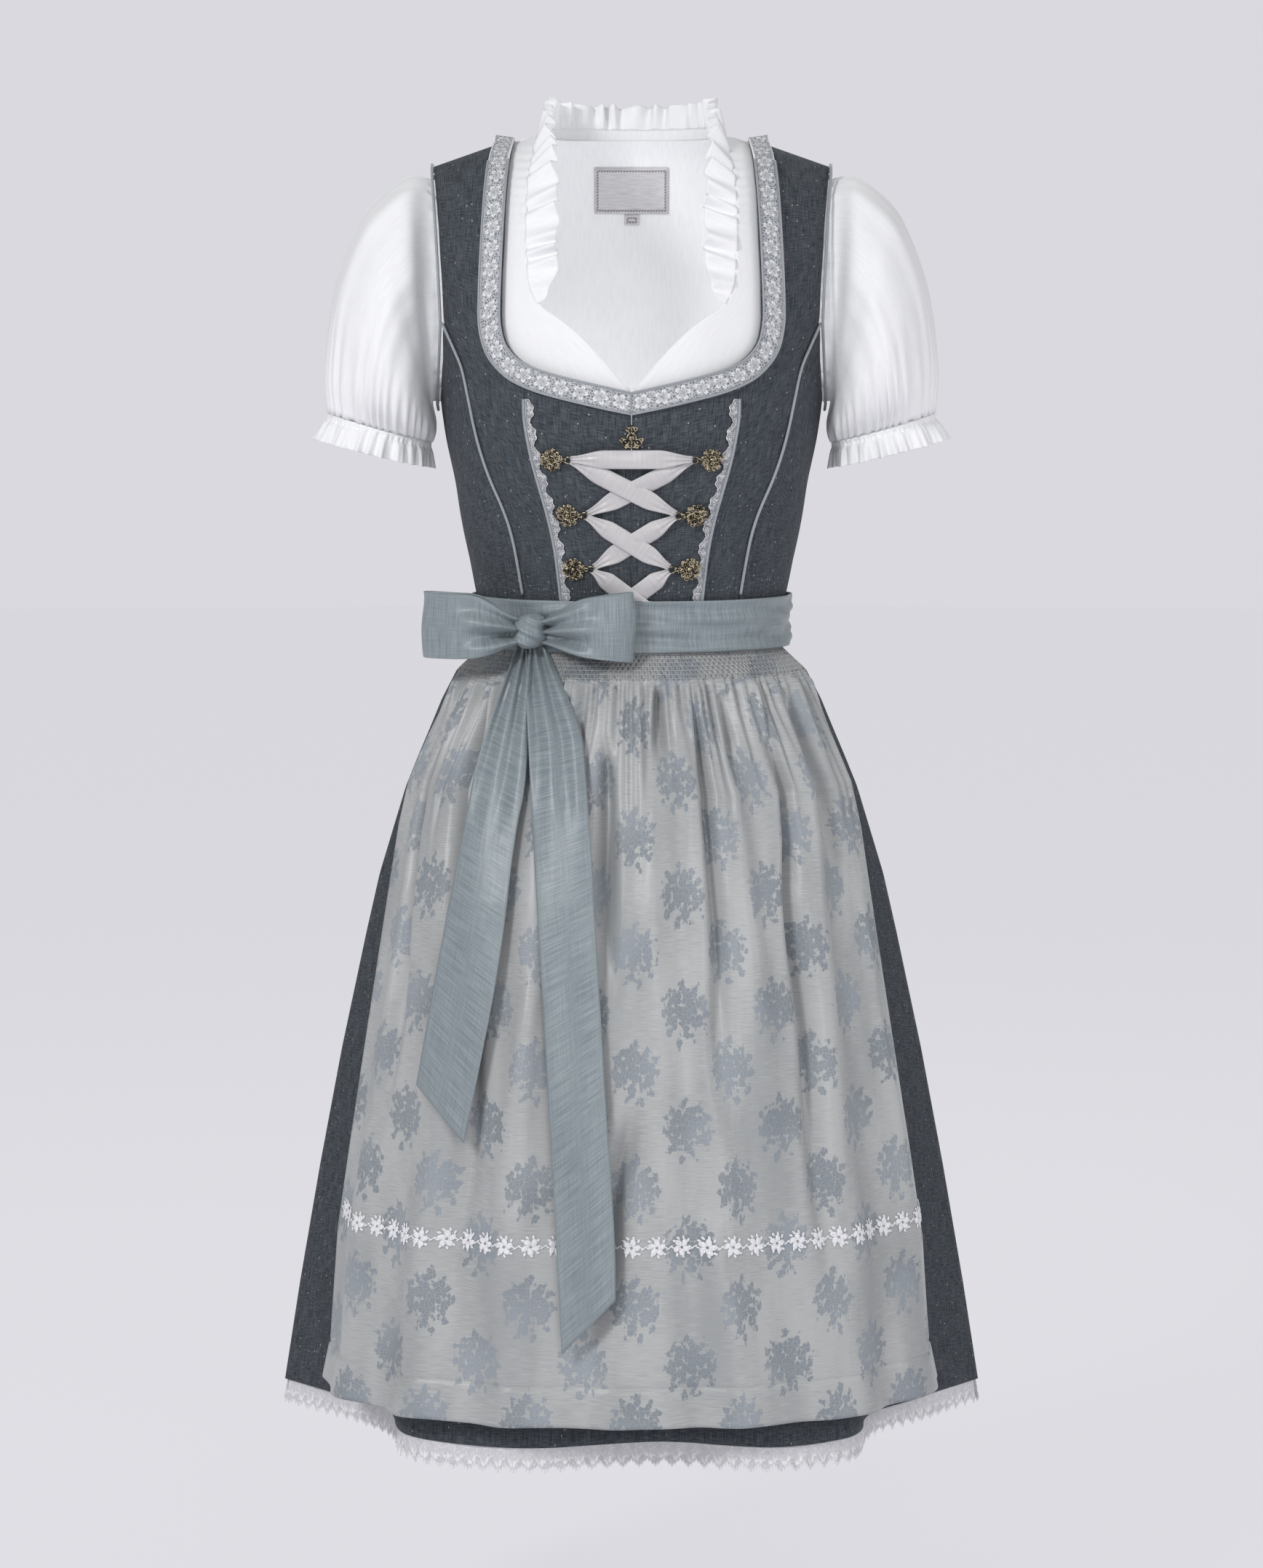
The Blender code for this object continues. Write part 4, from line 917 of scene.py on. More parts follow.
@dataclass
class Torso:
    """The surface that the dress body lies on."""

    # Height, half width, front depth, back depth
    levels: Array = field(default_factory=lambda: np.array([
        (-0.415, 0.1244, 0.1037, 0.0815), (-0.392, 0.1244, 0.1037, 0.0815),
        (-0.363, 0.1306, 0.1105, 0.086), (-0.339, 0.1357, 0.117, 0.089),
        (-0.314, 0.1401, 0.123, 0.091), (-0.290, 0.1449, 0.129, 0.093),
        (-0.266, 0.1493, 0.135, 0.096), (-0.242, 0.1534, 0.139, 0.099),
        (-0.220, 0.1570, 0.141, 0.102), (-0.160, 0.1650, 0.140, 0.108),
        (-0.100, 0.1700, 0.138, 0.108), (0.040, 0.1720, 0.138, 0.105),
    ]))
    shoulder_at: float = 0.003
    shoulder_inner: float = 0.097
    shoulder_slope: float = -0.348
    front_rounding: float = 0.16
    back_rounding: float = 0.12

    def size(self, z: Any) -> tuple[Any, Any, Any]:
        """Half width, front depth and back depth at a height."""
        half, front, back = (np.interp(z, self.levels[:, 0], self.levels[:, k]) for k in (1, 2, 3))
        return half, front, back

    def shoulder(self, x: Any) -> Any:
        """Height of the shoulder line at a distance from the middle."""
        return self.shoulder_at + self.shoulder_slope * (np.abs(x) - self.shoulder_inner)

    def point(self, x: Any, z: Any, front: bool = True, out: Any = 0.0) -> Array:
        """The surface at a distance and a height.

        Args:
            x: Distance from the middle.
            z: Height.
            front: Whether it is the front.
            out: How far the point is moved out.

        Returns:
            The point or points.
        """
        half, depth_front, depth_back = self.size(z)
        depth, rounding = ((depth_front, self.front_rounding) if front
                           else (depth_back, self.back_rounding))
        below = np.clip((self.shoulder(x) - z) / rounding, 0.0, 1.0)
        rise = np.sqrt(np.clip(1.0 - (1.0 - below) ** 2, 0.0, 1.0))
        sine = np.clip(x / half, -1.0, 1.0)
        cosine = np.sqrt(np.clip(1.0 - sine ** 2, 0.0, 1.0))
        sign = -1 if front else 1
        level = np.stack([sine * half, sign * depth * cosine * rise, z], axis=-1)
        facing = np.stack([sine * rise, sign * cosine * rise,
                           np.sqrt(np.clip(1.0 - rise ** 2, 0.0, 1.0))], axis=-1)
        return level + unit(facing) * np.asarray(out)[..., None]

    def lay(self, grid: Array, front: bool = True, out: Any = 0.0) -> Array:
        """Lays a grid of distances and heights on the surface.

        Args:
            grid: The grid.
            front: Whether it lies on the front.
            out: How far it is moved out.

        Returns:
            The grid of points.
        """
        points = self.point(grid[..., 0], grid[..., 1], front, out)
        gap = LIFT * (-1 if front else 1)
        points[..., 1] = np.minimum(points[..., 1], gap) if front else np.maximum(points[..., 1], gap)
        return points

    def angle(self, place: Sequence[float]) -> tuple[float, float]:
        """A distance and height as an arc round the torso and a height."""
        x, z = place
        half = float(self.size(z)[0])
        return (math.asin(max(-1.0, min(1.0, x / half))) * half, z)

    def distance(self, grid: Array) -> Array:
        """Turns a grid of arcs and heights back into distances and heights."""
        half = self.size(grid[..., 1])[0]
        result = grid.copy()
        result[..., 0] = np.sin(np.clip(grid[..., 0] / half, -math.pi / 2, math.pi / 2)) * half
        return result

    def curve(self, flat: Any, out: float, front: bool = True) -> Array:
        """A curve of distances and heights laid on the surface."""
        flat = np.asarray(flat, float)
        return self.point(flat[:, 0], flat[:, 1], front, out)

    def stand(self, piece: bpy.types.Object, x: float, z: float, along_x: int, out: float) -> None:
        """Moves a flat piece's mesh to face out of the torso at a place.

        Args:
            piece: The piece, modelled round the origin and facing +Z.
            x: The place's distance from the middle.
            z: Its height.
            along_x: 1 where the piece's +X lies towards +X, -1 where it lies the other way.
            out: How far out its origin stands.
        """
        place = self.point(np.array(x), np.array(z), True, out)
        step = 0.003
        side = unit(self.point(np.array(x + step * along_x), np.array(z), True, out) - place)
        up = self.point(np.array(x), np.array(z + step), True, out) - place
        facing = unit(np.cross(side, up) * along_x)
        up = np.cross(facing, side)
        turned = np.eye(4)
        turned[:3, 0], turned[:3, 1], turned[:3, 2], turned[:3, 3] = side, up, facing, place
        piece.data.transform(Matrix(turned.tolist()))


TORSO = Torso()


@dataclass
class Bodice:
    """The dress body with its neck band, piping and lace-edged seams."""

    laced_seam: Curve2 = (
        (0.0552, -0.392), (0.0560, -0.3784), (0.0583, -0.3569), (0.0608, -0.3337),
        (0.0661, -0.3063), (0.0729, -0.2826), (0.0798, -0.2580), (0.0838, -0.2371),
        (0.0862, -0.2208), (0.0857, -0.1860),
    )
    curved_seam: Curve2 = (
        (0.0846, -0.392), (0.0866, -0.3753), (0.0912, -0.3460), (0.0958, -0.3203),
        (0.1027, -0.2989), (0.1151, -0.2719), (0.1245, -0.2426), (0.1311, -0.2103),
        (0.1363, -0.1840), (0.1439, -0.1676), (0.1530, -0.1487),
    )
    neck_edge: Curve2 = (
        (0.0, -0.2034), (0.0377, -0.1949), (0.0686, -0.1872), (0.0857, -0.1800),
        (0.0935, -0.1738), (0.1010, -0.1640), (0.1040, -0.1500), (0.1047, -0.1393),
        (0.1028, -0.0843), (0.1001, -0.0247), (0.0960, 0.0033),
    )
    armhole_front: Curve2 = ((0.1530, -0.1487), (0.1546, -0.1115), (0.1585, -0.0592), (0.1627, -0.0199))
    armhole_under: Curve2 = ((0.1530, -0.1487), (0.1546, -0.1780), (0.1562, -0.2010),
                             (0.1580, ARMHOLE_FOOT))
    armhole_back: Curve2 = ((0.1562, -0.185), (0.1530, -0.1487), (0.1546, -0.1115), (0.1585, -0.0592),
                            (0.1627, -0.0199))
    rows: int = 57
    seam_gap: float = 0.0004
    neck_band: float = 0.0170
    piping: float = 0.0012
    lace: float = 0.0080
    scallops: int = 9
    trim_low: float = -0.3765
    wrinkle: float = 0.0007

    def wrinkles(self, flat: Array, front: bool = True) -> Array:
        """How far worn creases lift the cloth at distances and heights."""
        pulled = ripples(flat[..., 0], flat[..., 1], 11 if front else 12, 10, (4.0, 16.0), 1.3)
        return self.wrinkle * pulled * smooth((-0.02 - flat[..., 1]) / 0.05)

    def both(self, name: str, flat: Array, size: tuple[float, float], w: Wardrobe) -> None:
        """A panel and its mirror image.

        Args:
            name: The panels' name.
            flat: The left one's grid of distances and heights.
            size: The flat size it was cut to.
            w: Where the finish comes from.
        """
        points = TORSO.lay(flat, out=self.wrinkles(flat))
        Cloth(f"dress_{name}", points, "chambray", "chambray", size, nodes=(name,),
              wall=DRESS_WALL).both(w)

    def between(self, curve: Curve2, low: float, high: float) -> list[tuple[float, float]]:
        """The stretch of a curve between two heights."""
        whole = softened(curve)
        inside = [tuple(p) for p in whole if low < p[1] < high]
        ends = [(float(np.interp(z, whole[:, 1], whole[:, 0])), z) for z in (low, high)]
        return [ends[0], *inside, ends[1]]

    def build(self, w: Wardrobe) -> None:
        """Builds the panels and their trims."""
        gap = np.array((self.seam_gap / 2, 0.0))
        neck = softened(self.neck_edge)
        split = int(np.argmin(np.abs(neck[:, 0] - self.laced_seam[-1][0]) + (neck[:, 1] > -0.17)))
        laced = along(self.between(self.laced_seam, WAIST_SEAM, float(neck[split, 1])), self.rows)
        laced[-1, 0] = neck[split, 0]
        curved = along(softened(self.curved_seam), self.rows)
        centre = np.column_stack([np.full(self.rows, gap[0]),
                                  np.linspace(WAIST_SEAM, self.neck_edge[0][1], self.rows)])
        grid = patch([centre[0], laced[0] - gap], neck[:split + 1] + gap, centre, laced - gap,
                     26, self.rows)
        self.both("centre_front", grid, (0.082, 0.205), w)

        rest, arm = (along(c, 49, 1.9) for c in (neck[split:], softened(self.armhole_front)))
        inner = np.concatenate([laced + gap, rest[1:] + gap])
        outer = np.concatenate([curved - gap, arm[1:]])
        grid = patch([inner[0], outer[0]], [inner[-1], outer[-1]], inner, outer, 20, len(inner))
        self.both("strap_front", grid, (0.062, 0.420), w)

        side = np.array([TORSO.angle((float(TORSO.size(z)[0]), z))
                         for z in np.linspace(WAIST_SEAM, self.armhole_under[-1][1], self.rows)])
        beside = np.array([TORSO.angle(p) for p in curved + 3 * gap])
        under = [TORSO.angle(p) for p in np.array(self.armhole_under) + 3 * gap]
        turned = patch([beside[0], side[0]], under, beside, side, 26, self.rows)
        self.both("side_front", TORSO.distance(turned), (0.118, 0.185), w)
        back = self.back_grid(self.armhole_back, 0.0, 81, 90)
        Cloth("dress_back_panel", back, "chambray", "chambray", (0.40, 0.375),
              nodes=("back_panel",), area=0.118, wall=DRESS_WALL).make(w)
        self.trims(w)

    def back_grid(self, arm: Curve2, out: float, columns: int, rows: int, low: float = WAIST_SEAM,
                  drop: float = -0.045, inner: float = 0.0960, square: float = 2.6) -> Array:
        """The back from side seam to side seam, up to both shoulders, with a round neckline.

        Args:
            arm: The back armhole edge from the side seam to the shoulder.
            out: How far out it lies.
            columns: Points across.
            rows: Points up.
            low: Height of its lower edge.
            drop: Height of the neckline's lowest point.
            inner: Half width of the neckline.
            square: How square the neckline's curve is.

        Returns:
            The grid, facing back.
        """
        seam = [(float(TORSO.size(z)[0]), z) for z in np.linspace(low, ARMHOLE_FOOT, 8)]
        edge = [TORSO.angle(p) for p in [*seam, *arm]]
        reach, half = edge[-1][0], float(TORSO.size(0.0)[0])
        top = []
        for x in np.linspace(-reach, reach, columns):
            flat = math.sin(x / half) * half
            height = float(TORSO.shoulder(flat))
            if abs(flat) <= inner:
                turn = 1.0 - (abs(flat) / inner) ** square
                crown = float(TORSO.shoulder(inner))
                height = crown + (drop - crown) * turn ** 0.5
            top.append((x, height))
        left = [(-x, z) for x, z in edge]
        flat_grid = TORSO.distance(patch([left[0], edge[0]], top, left, edge, columns, rows, 1.9))
        return TORSO.lay(flat_grid, False, out + self.wrinkles(flat_grid, False))[:, ::-1]

    def cords(self, name: str, path: Array, w: Wardrobe, closed: bool = False) -> None:
        """A cord of piping on each side, standing for the node of its name where there is one."""
        for side in Side:
            own = path * (side.value, 1.0, 1.0)
            piece = rope(f"{name}_{side.tag}_cord", own, self.piping, closed)
            node = f"{name}_{side.tag}"
            wear(piece, w["grey_cord"], "grey_cord", [node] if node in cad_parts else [])

    def trims(self, w: Wardrobe) -> None:
        """The neck band, the corded and lace-edged seams and the armhole piping."""
        out = self.piping + LIFT
        neck = softened(self.neck_edge, 3)
        heading = unit(np.gradient(neck, axis=0))
        sideways = np.stack([heading[:, 1], -heading[:, 0]], axis=1)
        sideways[0] = (0.0, -1.0)
        inner, outer = (along(edge, 150, 1.4) for edge in (neck, neck + sideways * self.neck_band))
        across = np.linspace(0.0, 1.0, 7)[:, None, None]
        band = outer[None] * (1 - across) + inner[None] * across
        band[:, 0, 0] = self.seam_gap
        points = TORSO.lay(band, out=0.0005 + 0.0019 * smooth((0.0040 - band[..., 1]) / 0.02))
        Cloth("neck_band_cloth", points, "neck_lace", "neck_lace", (0.315, 0.0172), Held.FOLDED,
              ("neck_band",)).both(w)
        for number, edge in enumerate((inner, outer), 1):
            edge = edge[edge[:, 1] < -0.018]
            path = TORSO.curve(edge, 0.0030)
            for side in Side:
                cord = rope(f"neck_edge_{number}_{side.tag}", path * (side.value, 1.0, 1.0), 0.0009)
                wear(cord, w["grey_cord"], "grey_cord")

        laced = self.between(self.laced_seam, self.trim_low, -0.2085)
        self.cords("laced_seam_piping", TORSO.curve(along(softened(laced), 70), out), w)
        count = 14 * self.scallops + 1
        steps = np.linspace(0.0, 1.0, count)
        seam = along(softened(laced), count) - (self.piping, 0.0)
        lobe = np.abs(np.sin(steps * self.scallops * math.pi))
        reach = self.lace * (0.26 + 0.56 * lobe ** 0.8 + 0.08 * np.cos(steps * self.scallops * 6 * math.pi))
        share = np.linspace(1.0, 0.0, 7)
        strip = np.stack([seam - np.stack([reach * s, np.zeros(count)], axis=1) for s in share], axis=1)
        points = TORSO.lay(strip, out=LIFT + 0.0009 + 0.0004 * np.sin(
            steps * self.scallops * math.tau)[:, None] * share[None])
        Cloth("seam_lace", points, "seam_lace", "lace", (0.0105, 0.170), area=0.0013,
              woven=(self.lace, 0.170), nodes=("laced_seam_lace",), wall=FINE_WALL, turned=True).both(w)

        curved = [p for p in softened(self.curved_seam, 1) if p[1] > self.trim_low]
        self.cords("curved_seam_piping", TORSO.curve(along(softened(curved), 80), out), w)
        front = TORSO.curve(along(softened(self.armhole_front), 34), out)
        under = TORSO.curve(along(softened(self.armhole_under), 16), out)
        back = [self.armhole_under[-1], *self.armhole_back]
        behind = TORSO.curve(along(softened(back), 46), out, False)
        loop = np.concatenate([under[::-1][:-1], front, behind[::-1][1:-1]])
        self.cords("armhole_piping", loop + np.array((out, 0.0, 0.0)), w, True)


@dataclass
class Filigree:
    """Cast hooks and the clasp, made of loops and beads."""

    radius: float = 0.0100
    wire: float = 0.00062

    def start(self) -> None:
        """Clears the selection."""
        bpy.ops.object.select_all(action="DESELECT")
        self.parts: list[bpy.types.Object] = []

    def keep(self) -> bpy.types.Object:
        """Keeps the piece just added for the join."""
        piece = bpy.context.object
        self.parts.append(piece)
        return piece

    def bead(self, x: float, y: float, radius: float, height: float, z: float = 0.0) -> None:
        """A low round bead."""
        bpy.ops.mesh.primitive_uv_sphere_add(segments=12, ring_count=8, radius=radius, location=(x, y, z))
        self.keep().scale = (1.0, 1.0, height / radius)

    def loop(self, x: float, y: float, long: float, wide: float, turn: float = 0.0, z: float = 0.0) -> None:
        """An oval of wire, its long way at a turn."""
        bpy.ops.mesh.primitive_torus_add(major_segments=20, minor_segments=8, major_radius=1.0,
                                         minor_radius=self.wire / wide, location=(x, y, z),
                                         rotation=(0.0, 0.0, turn))
        self.keep().scale = (long, wide, wide)

    def join(self, name: str) -> bpy.types.Object:
        """Joins the parts at the origin, unscaled."""
        bpy.ops.object.select_all(action="DESELECT")
        for part in self.parts:
            part.select_set(True)
        bpy.context.view_layer.objects.active = self.parts[0]
        bpy.ops.object.join()
        piece = bpy.context.object
        bpy.ops.object.transform_apply(location=True, rotation=True, scale=True)
        piece.name = name
        bpy.ops.object.shade_smooth()
        return piece

    def rosette(self, x: float, y: float, size: float, turn: float = 0.0) -> None:
        """A flower of wire loops round a boss."""
        self.bead(x, y, size * 0.24, size * 0.17, size * 0.08)
        self.loop(x, y, size * 0.36, size * 0.36)
        for k in range(6):
            angle = turn + k * math.pi / 3
            c, s = math.cos(angle), math.sin(angle)
            self.loop(x + c * size * 0.56, y + s * size * 0.56, size * 0.25, size * 0.19, angle,
                      size * 0.03)
            self.bead(x + c * size * 0.55, y + s * size * 0.55, size * 0.085, size * 0.07, size * 0.05)
            self.loop(x + c * size * 0.83, y + s * size * 0.83, size * 0.15, size * 0.17, angle)
            half = angle + math.pi / 6
            c, s = math.cos(half), math.sin(half)
            self.bead(x + c * size * 0.47, y + s * size * 0.47, size * 0.08, size * 0.08, size * 0.05)
            self.loop(x + c * size * 0.73, y + s * size * 0.73, size * 0.17, size * 0.11, half)
            self.bead(x + c * size * 0.90, y + s * size * 0.90, size * 0.075, size * 0.07)

    def hook(self, name: str, reach: float) -> bpy.types.Object:
        """A rosette with a neck to its eye at +X, the middle between them at the origin."""
        self.start()
        self.rosette(-reach / 2, 0.0, self.radius * 0.96, 0.26)
        self.loop(reach / 2, 0.0, 0.0028, 0.0027)
        self.loop(reach / 2 - 0.0040, 0.0, 0.0016, 0.0012)
        self.bead(reach / 2 - 0.0025, 0.0018, 0.0008, 0.0008)
        self.bead(reach / 2 - 0.0025, -0.0018, 0.0008, 0.0008)
        return self.join(name)

    def clasp(self, name: str) -> bpy.types.Object:
        """Three leaves of wire round a boss, one upwards, with a bar below."""
        self.start()
        self.bead(0.0, 0.0, 0.0026, 0.0018, 0.0008)
        self.loop(0.0, 0.0, 0.0036, 0.0036)
        for angle in (90.0, 215.0, 325.0):
            turn = math.radians(angle)
            c, s = math.cos(turn), math.sin(turn)
            self.loop(c * 0.0062, s * 0.0062, 0.0030, 0.0023, turn, 0.0003)
            self.bead(c * 0.0060, s * 0.0060, 0.0011, 0.0010, 0.0005)
            self.bead(c * 0.0094, s * 0.0094, 0.0009, 0.0009)
            for bend in (-0.42, 0.42):
                near, far = math.cos(turn + bend), math.sin(turn + bend)
                self.loop(near * 0.0078, far * 0.0078, 0.0015, 0.0012, turn + bend)
                self.bead(near * 0.0052, far * 0.0052, 0.0007, 0.0008, 0.0003)
        self.loop(0.0, -0.0066, 0.0034, 0.0013, 0.0)
        return self.join(name)


@dataclass
class Lacing:
    """Six hooks, the centre clasp and the ribbon laced between the hooks."""

    # Rosette centre and eye centre of each hook; distance, height
    hooks: dict[str, tuple[tuple[float, float], tuple[float, float]]] = field(default_factory=lambda: {
        "top": ((0.0638, -0.2583), (0.0492, -0.2565)),
        "middle": ((0.0512, -0.3028), (0.0366, -0.3016)),
        "bottom": ((0.0462, -0.3467), (0.0316, -0.3453)),
    })
    hook_out: float = 0.0030
    clasp_at: tuple[float, float] = (0.0, -0.2392)
    width: float = 0.0150
    narrow: float = 0.0056
    eye: float = 0.0026
    under: float = 0.0030
    over: float = 0.0046
    top: float = 0.0064

    def build(self, w: Wardrobe) -> None:
        """Builds the hooks, the clasp and the strands."""
        cast = Filigree()
        for level, (rosette, eye) in self.hooks.items():
            middle = (np.array(rosette) + eye) / 2
            for side in Side:
                sign = int(side.value)
                piece = cast.hook(f"filigree_{level}_{side.tag}", math.dist(rosette, eye))
                TORSO.stand(piece, sign * middle[0], middle[1], -sign, self.hook_out)
                wear(piece, w["antique_metal"], "antique_metal", [f"hook_{level}_{side.tag}"])
        piece = cast.clasp("filigree_clasp")
        TORSO.stand(piece, *self.clasp_at, 1, 0.0022)
        wear(piece, w["antique_metal"], "antique_metal", ["centre_clasp"])

        eyes = {level: np.array(eye) for level, (_, eye) in self.hooks.items()}
        flip = np.array((-1.0, 1.0))
        sash = np.array((-0.011, -0.3790))
        self.strand("ribbon_top_bar", eyes["top"] * flip, eyes["top"], self.top, w)
        names = list(eyes)
        for number, (high, low) in enumerate(zip(names, names[1:]), 1):
            self.strand(f"ribbon_over_{number}", eyes[high] * flip, eyes[low], self.over, w)
            self.strand(f"ribbon_under_{number}", eyes[high], eyes[low] * flip, self.under, w)
        self.strand("ribbon_over_3", eyes["bottom"] * flip, sash * flip, self.over, w, False)
        self.strand("ribbon_under_3", eyes["bottom"], sash, self.under, w, False)

    def strand(self, node: str, start: Array, end: Array, out: float, w: Wardrobe,
               both_ends: bool = True) -> None:
        """A flat stretch of ribbon between two eyes, pleated where it goes through them.

        Args:
            node: The node that it stands for.
            start: Distance and height of its first eye.
            end: Distance and height of its second eye, or where it goes under the sash.
            out: How far out it lies.
            w: Where the finish comes from.
            both_ends: Whether both ends go through an eye.
        """
        length = math.dist(start, end)
        heading = (end - start) / length
        start = start + heading * self.eye
        end = end - heading * (self.eye if both_ends else 0.0)
        t = np.linspace(0.0, 1.0, 49)
        spread = smooth(t * 3.6)
        if both_ends:
            spread = spread * smooth((1.0 - t) * 3.6)
        width = self.narrow + (self.width - self.narrow) * spread
        sideways = np.array((-heading[1], heading[0]))
        across = np.linspace(-0.5, 0.5, 15)
        middle = start + (end - start) * t[:, None]
        flat = middle[None] + sideways * (width[None, :, None] * across[:, None, None])
        flat[..., 1] = np.maximum(flat[..., 1], SASH_TOP + LIFT)
        pleat = 0.0016 * (1.0 - spread)[None] ** 0.5 * np.cos(across * 5 * math.pi)[:, None]
        curl = -0.0013 * spread[None] * (2 * across[:, None]) ** 2
        lean = 0.0011 * spread[None] * np.sin(math.tau * t + across[:, None] * 3.0)
        points = TORSO.lay(flat, out=out + 0.0010 + pleat * 0.5 + curl + lean)
        Cloth(f"{node}_satin", points, "satin_ribbon", "satin_ribbon", (length, 0.015), Held.STRETCHED,
              (node,), wall=RIBBON_WALL).make(w)


@dataclass
class Blouse:
    """The blouse: fronts, back, neck band and frill, puff sleeves with frilled cuffs."""

    hem: float = -0.262
    inside: float = -0.0045
    sweetheart: Curve2 = (
        (0.0004, -0.1999), (0.0052, -0.1976), (0.0180, -0.1823), (0.0308, -0.1687),
        (0.0436, -0.1560), (0.0565, -0.1462), (0.0765, -0.1334),
    )
    frill_seam: Curve2 = ((0.0845, -0.1183), (0.0863, -0.0800), (0.0863, -0.0493), (0.0835, -0.0200),
                          (0.0762, 0.0102))
    armhole: Curve2 = ((0.1560, -0.1850), (0.1545, -0.1487), (0.1560, -0.1115), (0.1580, -0.0592),
                       (0.1602, -0.0190))
    # Seam height, then how far the frill's free edge lies inwards, upwards and forwards of it
    frill_front: Array = field(default_factory=lambda: np.array([
        (-0.1340, 0.0030, 0.0030, 0.0010), (-0.1260, 0.0150, 0.0060, 0.0030),
        (-0.1150, 0.0230, 0.0050, 0.0040), (-0.0800, 0.0264, 0.0, 0.0060),
        (-0.0450, 0.0256, 0.0010, 0.0080), (-0.0190, 0.0200, 0.0110, 0.0120),
        (0.0100, 0.0080, 0.0200, 0.0100),
    ]))
    frill_waves: int = 40
    neck_half: float = 0.0715
    neck_depth: float = 0.0720
    band_low: float = 0.0036
    band_high: float = 0.0124
    # Rings down the sleeve: upper and lower point, front and back depth, sink of the sides
    sleeve: Array = field(default_factory=lambda: np.array([
        (0.1540, -0.0340, 0.1500, -0.2080, 0.034, 0.028, 0.0080),
        (0.1640, -0.0320, 0.1600, -0.2100, 0.038, 0.030, 0.0050),
        (0.1695, -0.0290, 0.1650, -0.2115, 0.043, 0.040, 0.0),
        (0.1850, -0.0285, 0.1655, -0.2160, 0.066, 0.059, 0.0),
        (0.2054, -0.0425, 0.1645, -0.2215, 0.076, 0.070, 0.0),
        (0.2250, -0.0670, 0.1630, -0.2265, 0.083, 0.078, 0.0),
        (0.2455, -0.1220, 0.1621, -0.2330, 0.084, 0.080, 0.0),
        (0.2534, -0.1850, 0.1630, -0.2395, 0.071, 0.069, 0.0),
        (0.2512, -0.2221, 0.1661, -0.2462, 0.050, 0.048, 0.0),
    ]))
    cuff: Array = field(default_factory=lambda: np.array([
        (0.2513, -0.2222, 0.1661, -0.2463, 0.050, 0.048, 0.0),
        (0.2612, -0.2438, 0.1660, -0.2673, 0.056, 0.054, 0.0),
    ]))

    def build(self, w: Wardrobe, bodice: Bodice) -> None:
        """Builds the blouse."""
        seam = [(float(TORSO.size(z)[0]), z) for z in np.linspace(self.hem, ARMHOLE_FOOT, 3)]
        inner = [(LIFT, self.hem), *(TORSO.angle(p) for p in [*self.sweetheart, *self.frill_seam])]
        outer = [TORSO.angle(p) for p in [*seam, *self.armhole]]
        grid = TORSO.distance(patch([inner[0], outer[0]], [inner[-1], outer[-1]], softened(inner, 1),
                                    outer, 41, 110, 1.9))
        lift = 0.0009 * ripples(grid[..., 0], grid[..., 1], 21, 10, (5.0, 20.0), 0.7)
        gathers = np.cos(grid[..., 1] * math.tau / 0.0075) * smooth((0.018 - np.linspace(
            0, 0.06, 41)[None]) / 0.018) * smooth((grid[..., 1] + 0.135) / 0.01)
        front = TORSO.lay(grid, out=self.inside + lift + 0.0007 * gathers)
        Cloth("blouse_front_cloth", front, "blouse_cotton", "blouse_cotton", (0.20, 0.30),
              area=0.034, nodes=("blouse_front",)).both(w)
        arm = [(x + 0.0010, z) for x, z in bodice.armhole_back]
        back = bodice.back_grid(arm, self.inside - 0.0012, 81, 90, self.hem, self.band_low + 0.0042,
                                0.0762, 8.0)
        Cloth("blouse_back_cloth", back, "blouse_cotton", "blouse_cotton", (0.40, 0.30), area=0.082,
              nodes=("blouse_back",)).make(w)
        turn = np.linspace(0.26, math.pi - 0.26, 121)
        heights = np.linspace(self.band_low, self.band_high, 7)[:, None]
        tuck = 0.0004 * np.cos(turn * 90)[None] * np.sin((heights - self.band_low) * 700)
        band = np.stack(np.broadcast_arrays((self.neck_half + tuck) * np.cos(turn)[None],
                                            0.003 + (self.neck_depth + tuck) * np.sin(turn)[None],
                                            heights), axis=2)
        Cloth("blouse_band_cloth", band, "blouse_cotton", "blouse_cotton", (0.200, 0.0102),
              Held.GATHERED, ("blouse_neck_band",), area=0.0019).make(w)
        self.frill(front, w)
        self.labels(back, w)
        for name, table, columns, rows, flat in (("sleeve", self.sleeve, 200, 44, (0.46, 0.195)),
                                                 ("cuff_frill", self.cuff, 260, 24, (0.42, 0.027))):
            points = self.rings(table, columns, rows, name == "cuff_frill")
            Cloth(f"{name}_cloth", points, "blouse_cotton", "blouse_cotton", flat, Held.GATHERED,
                  (name,), closed=True).both(w)

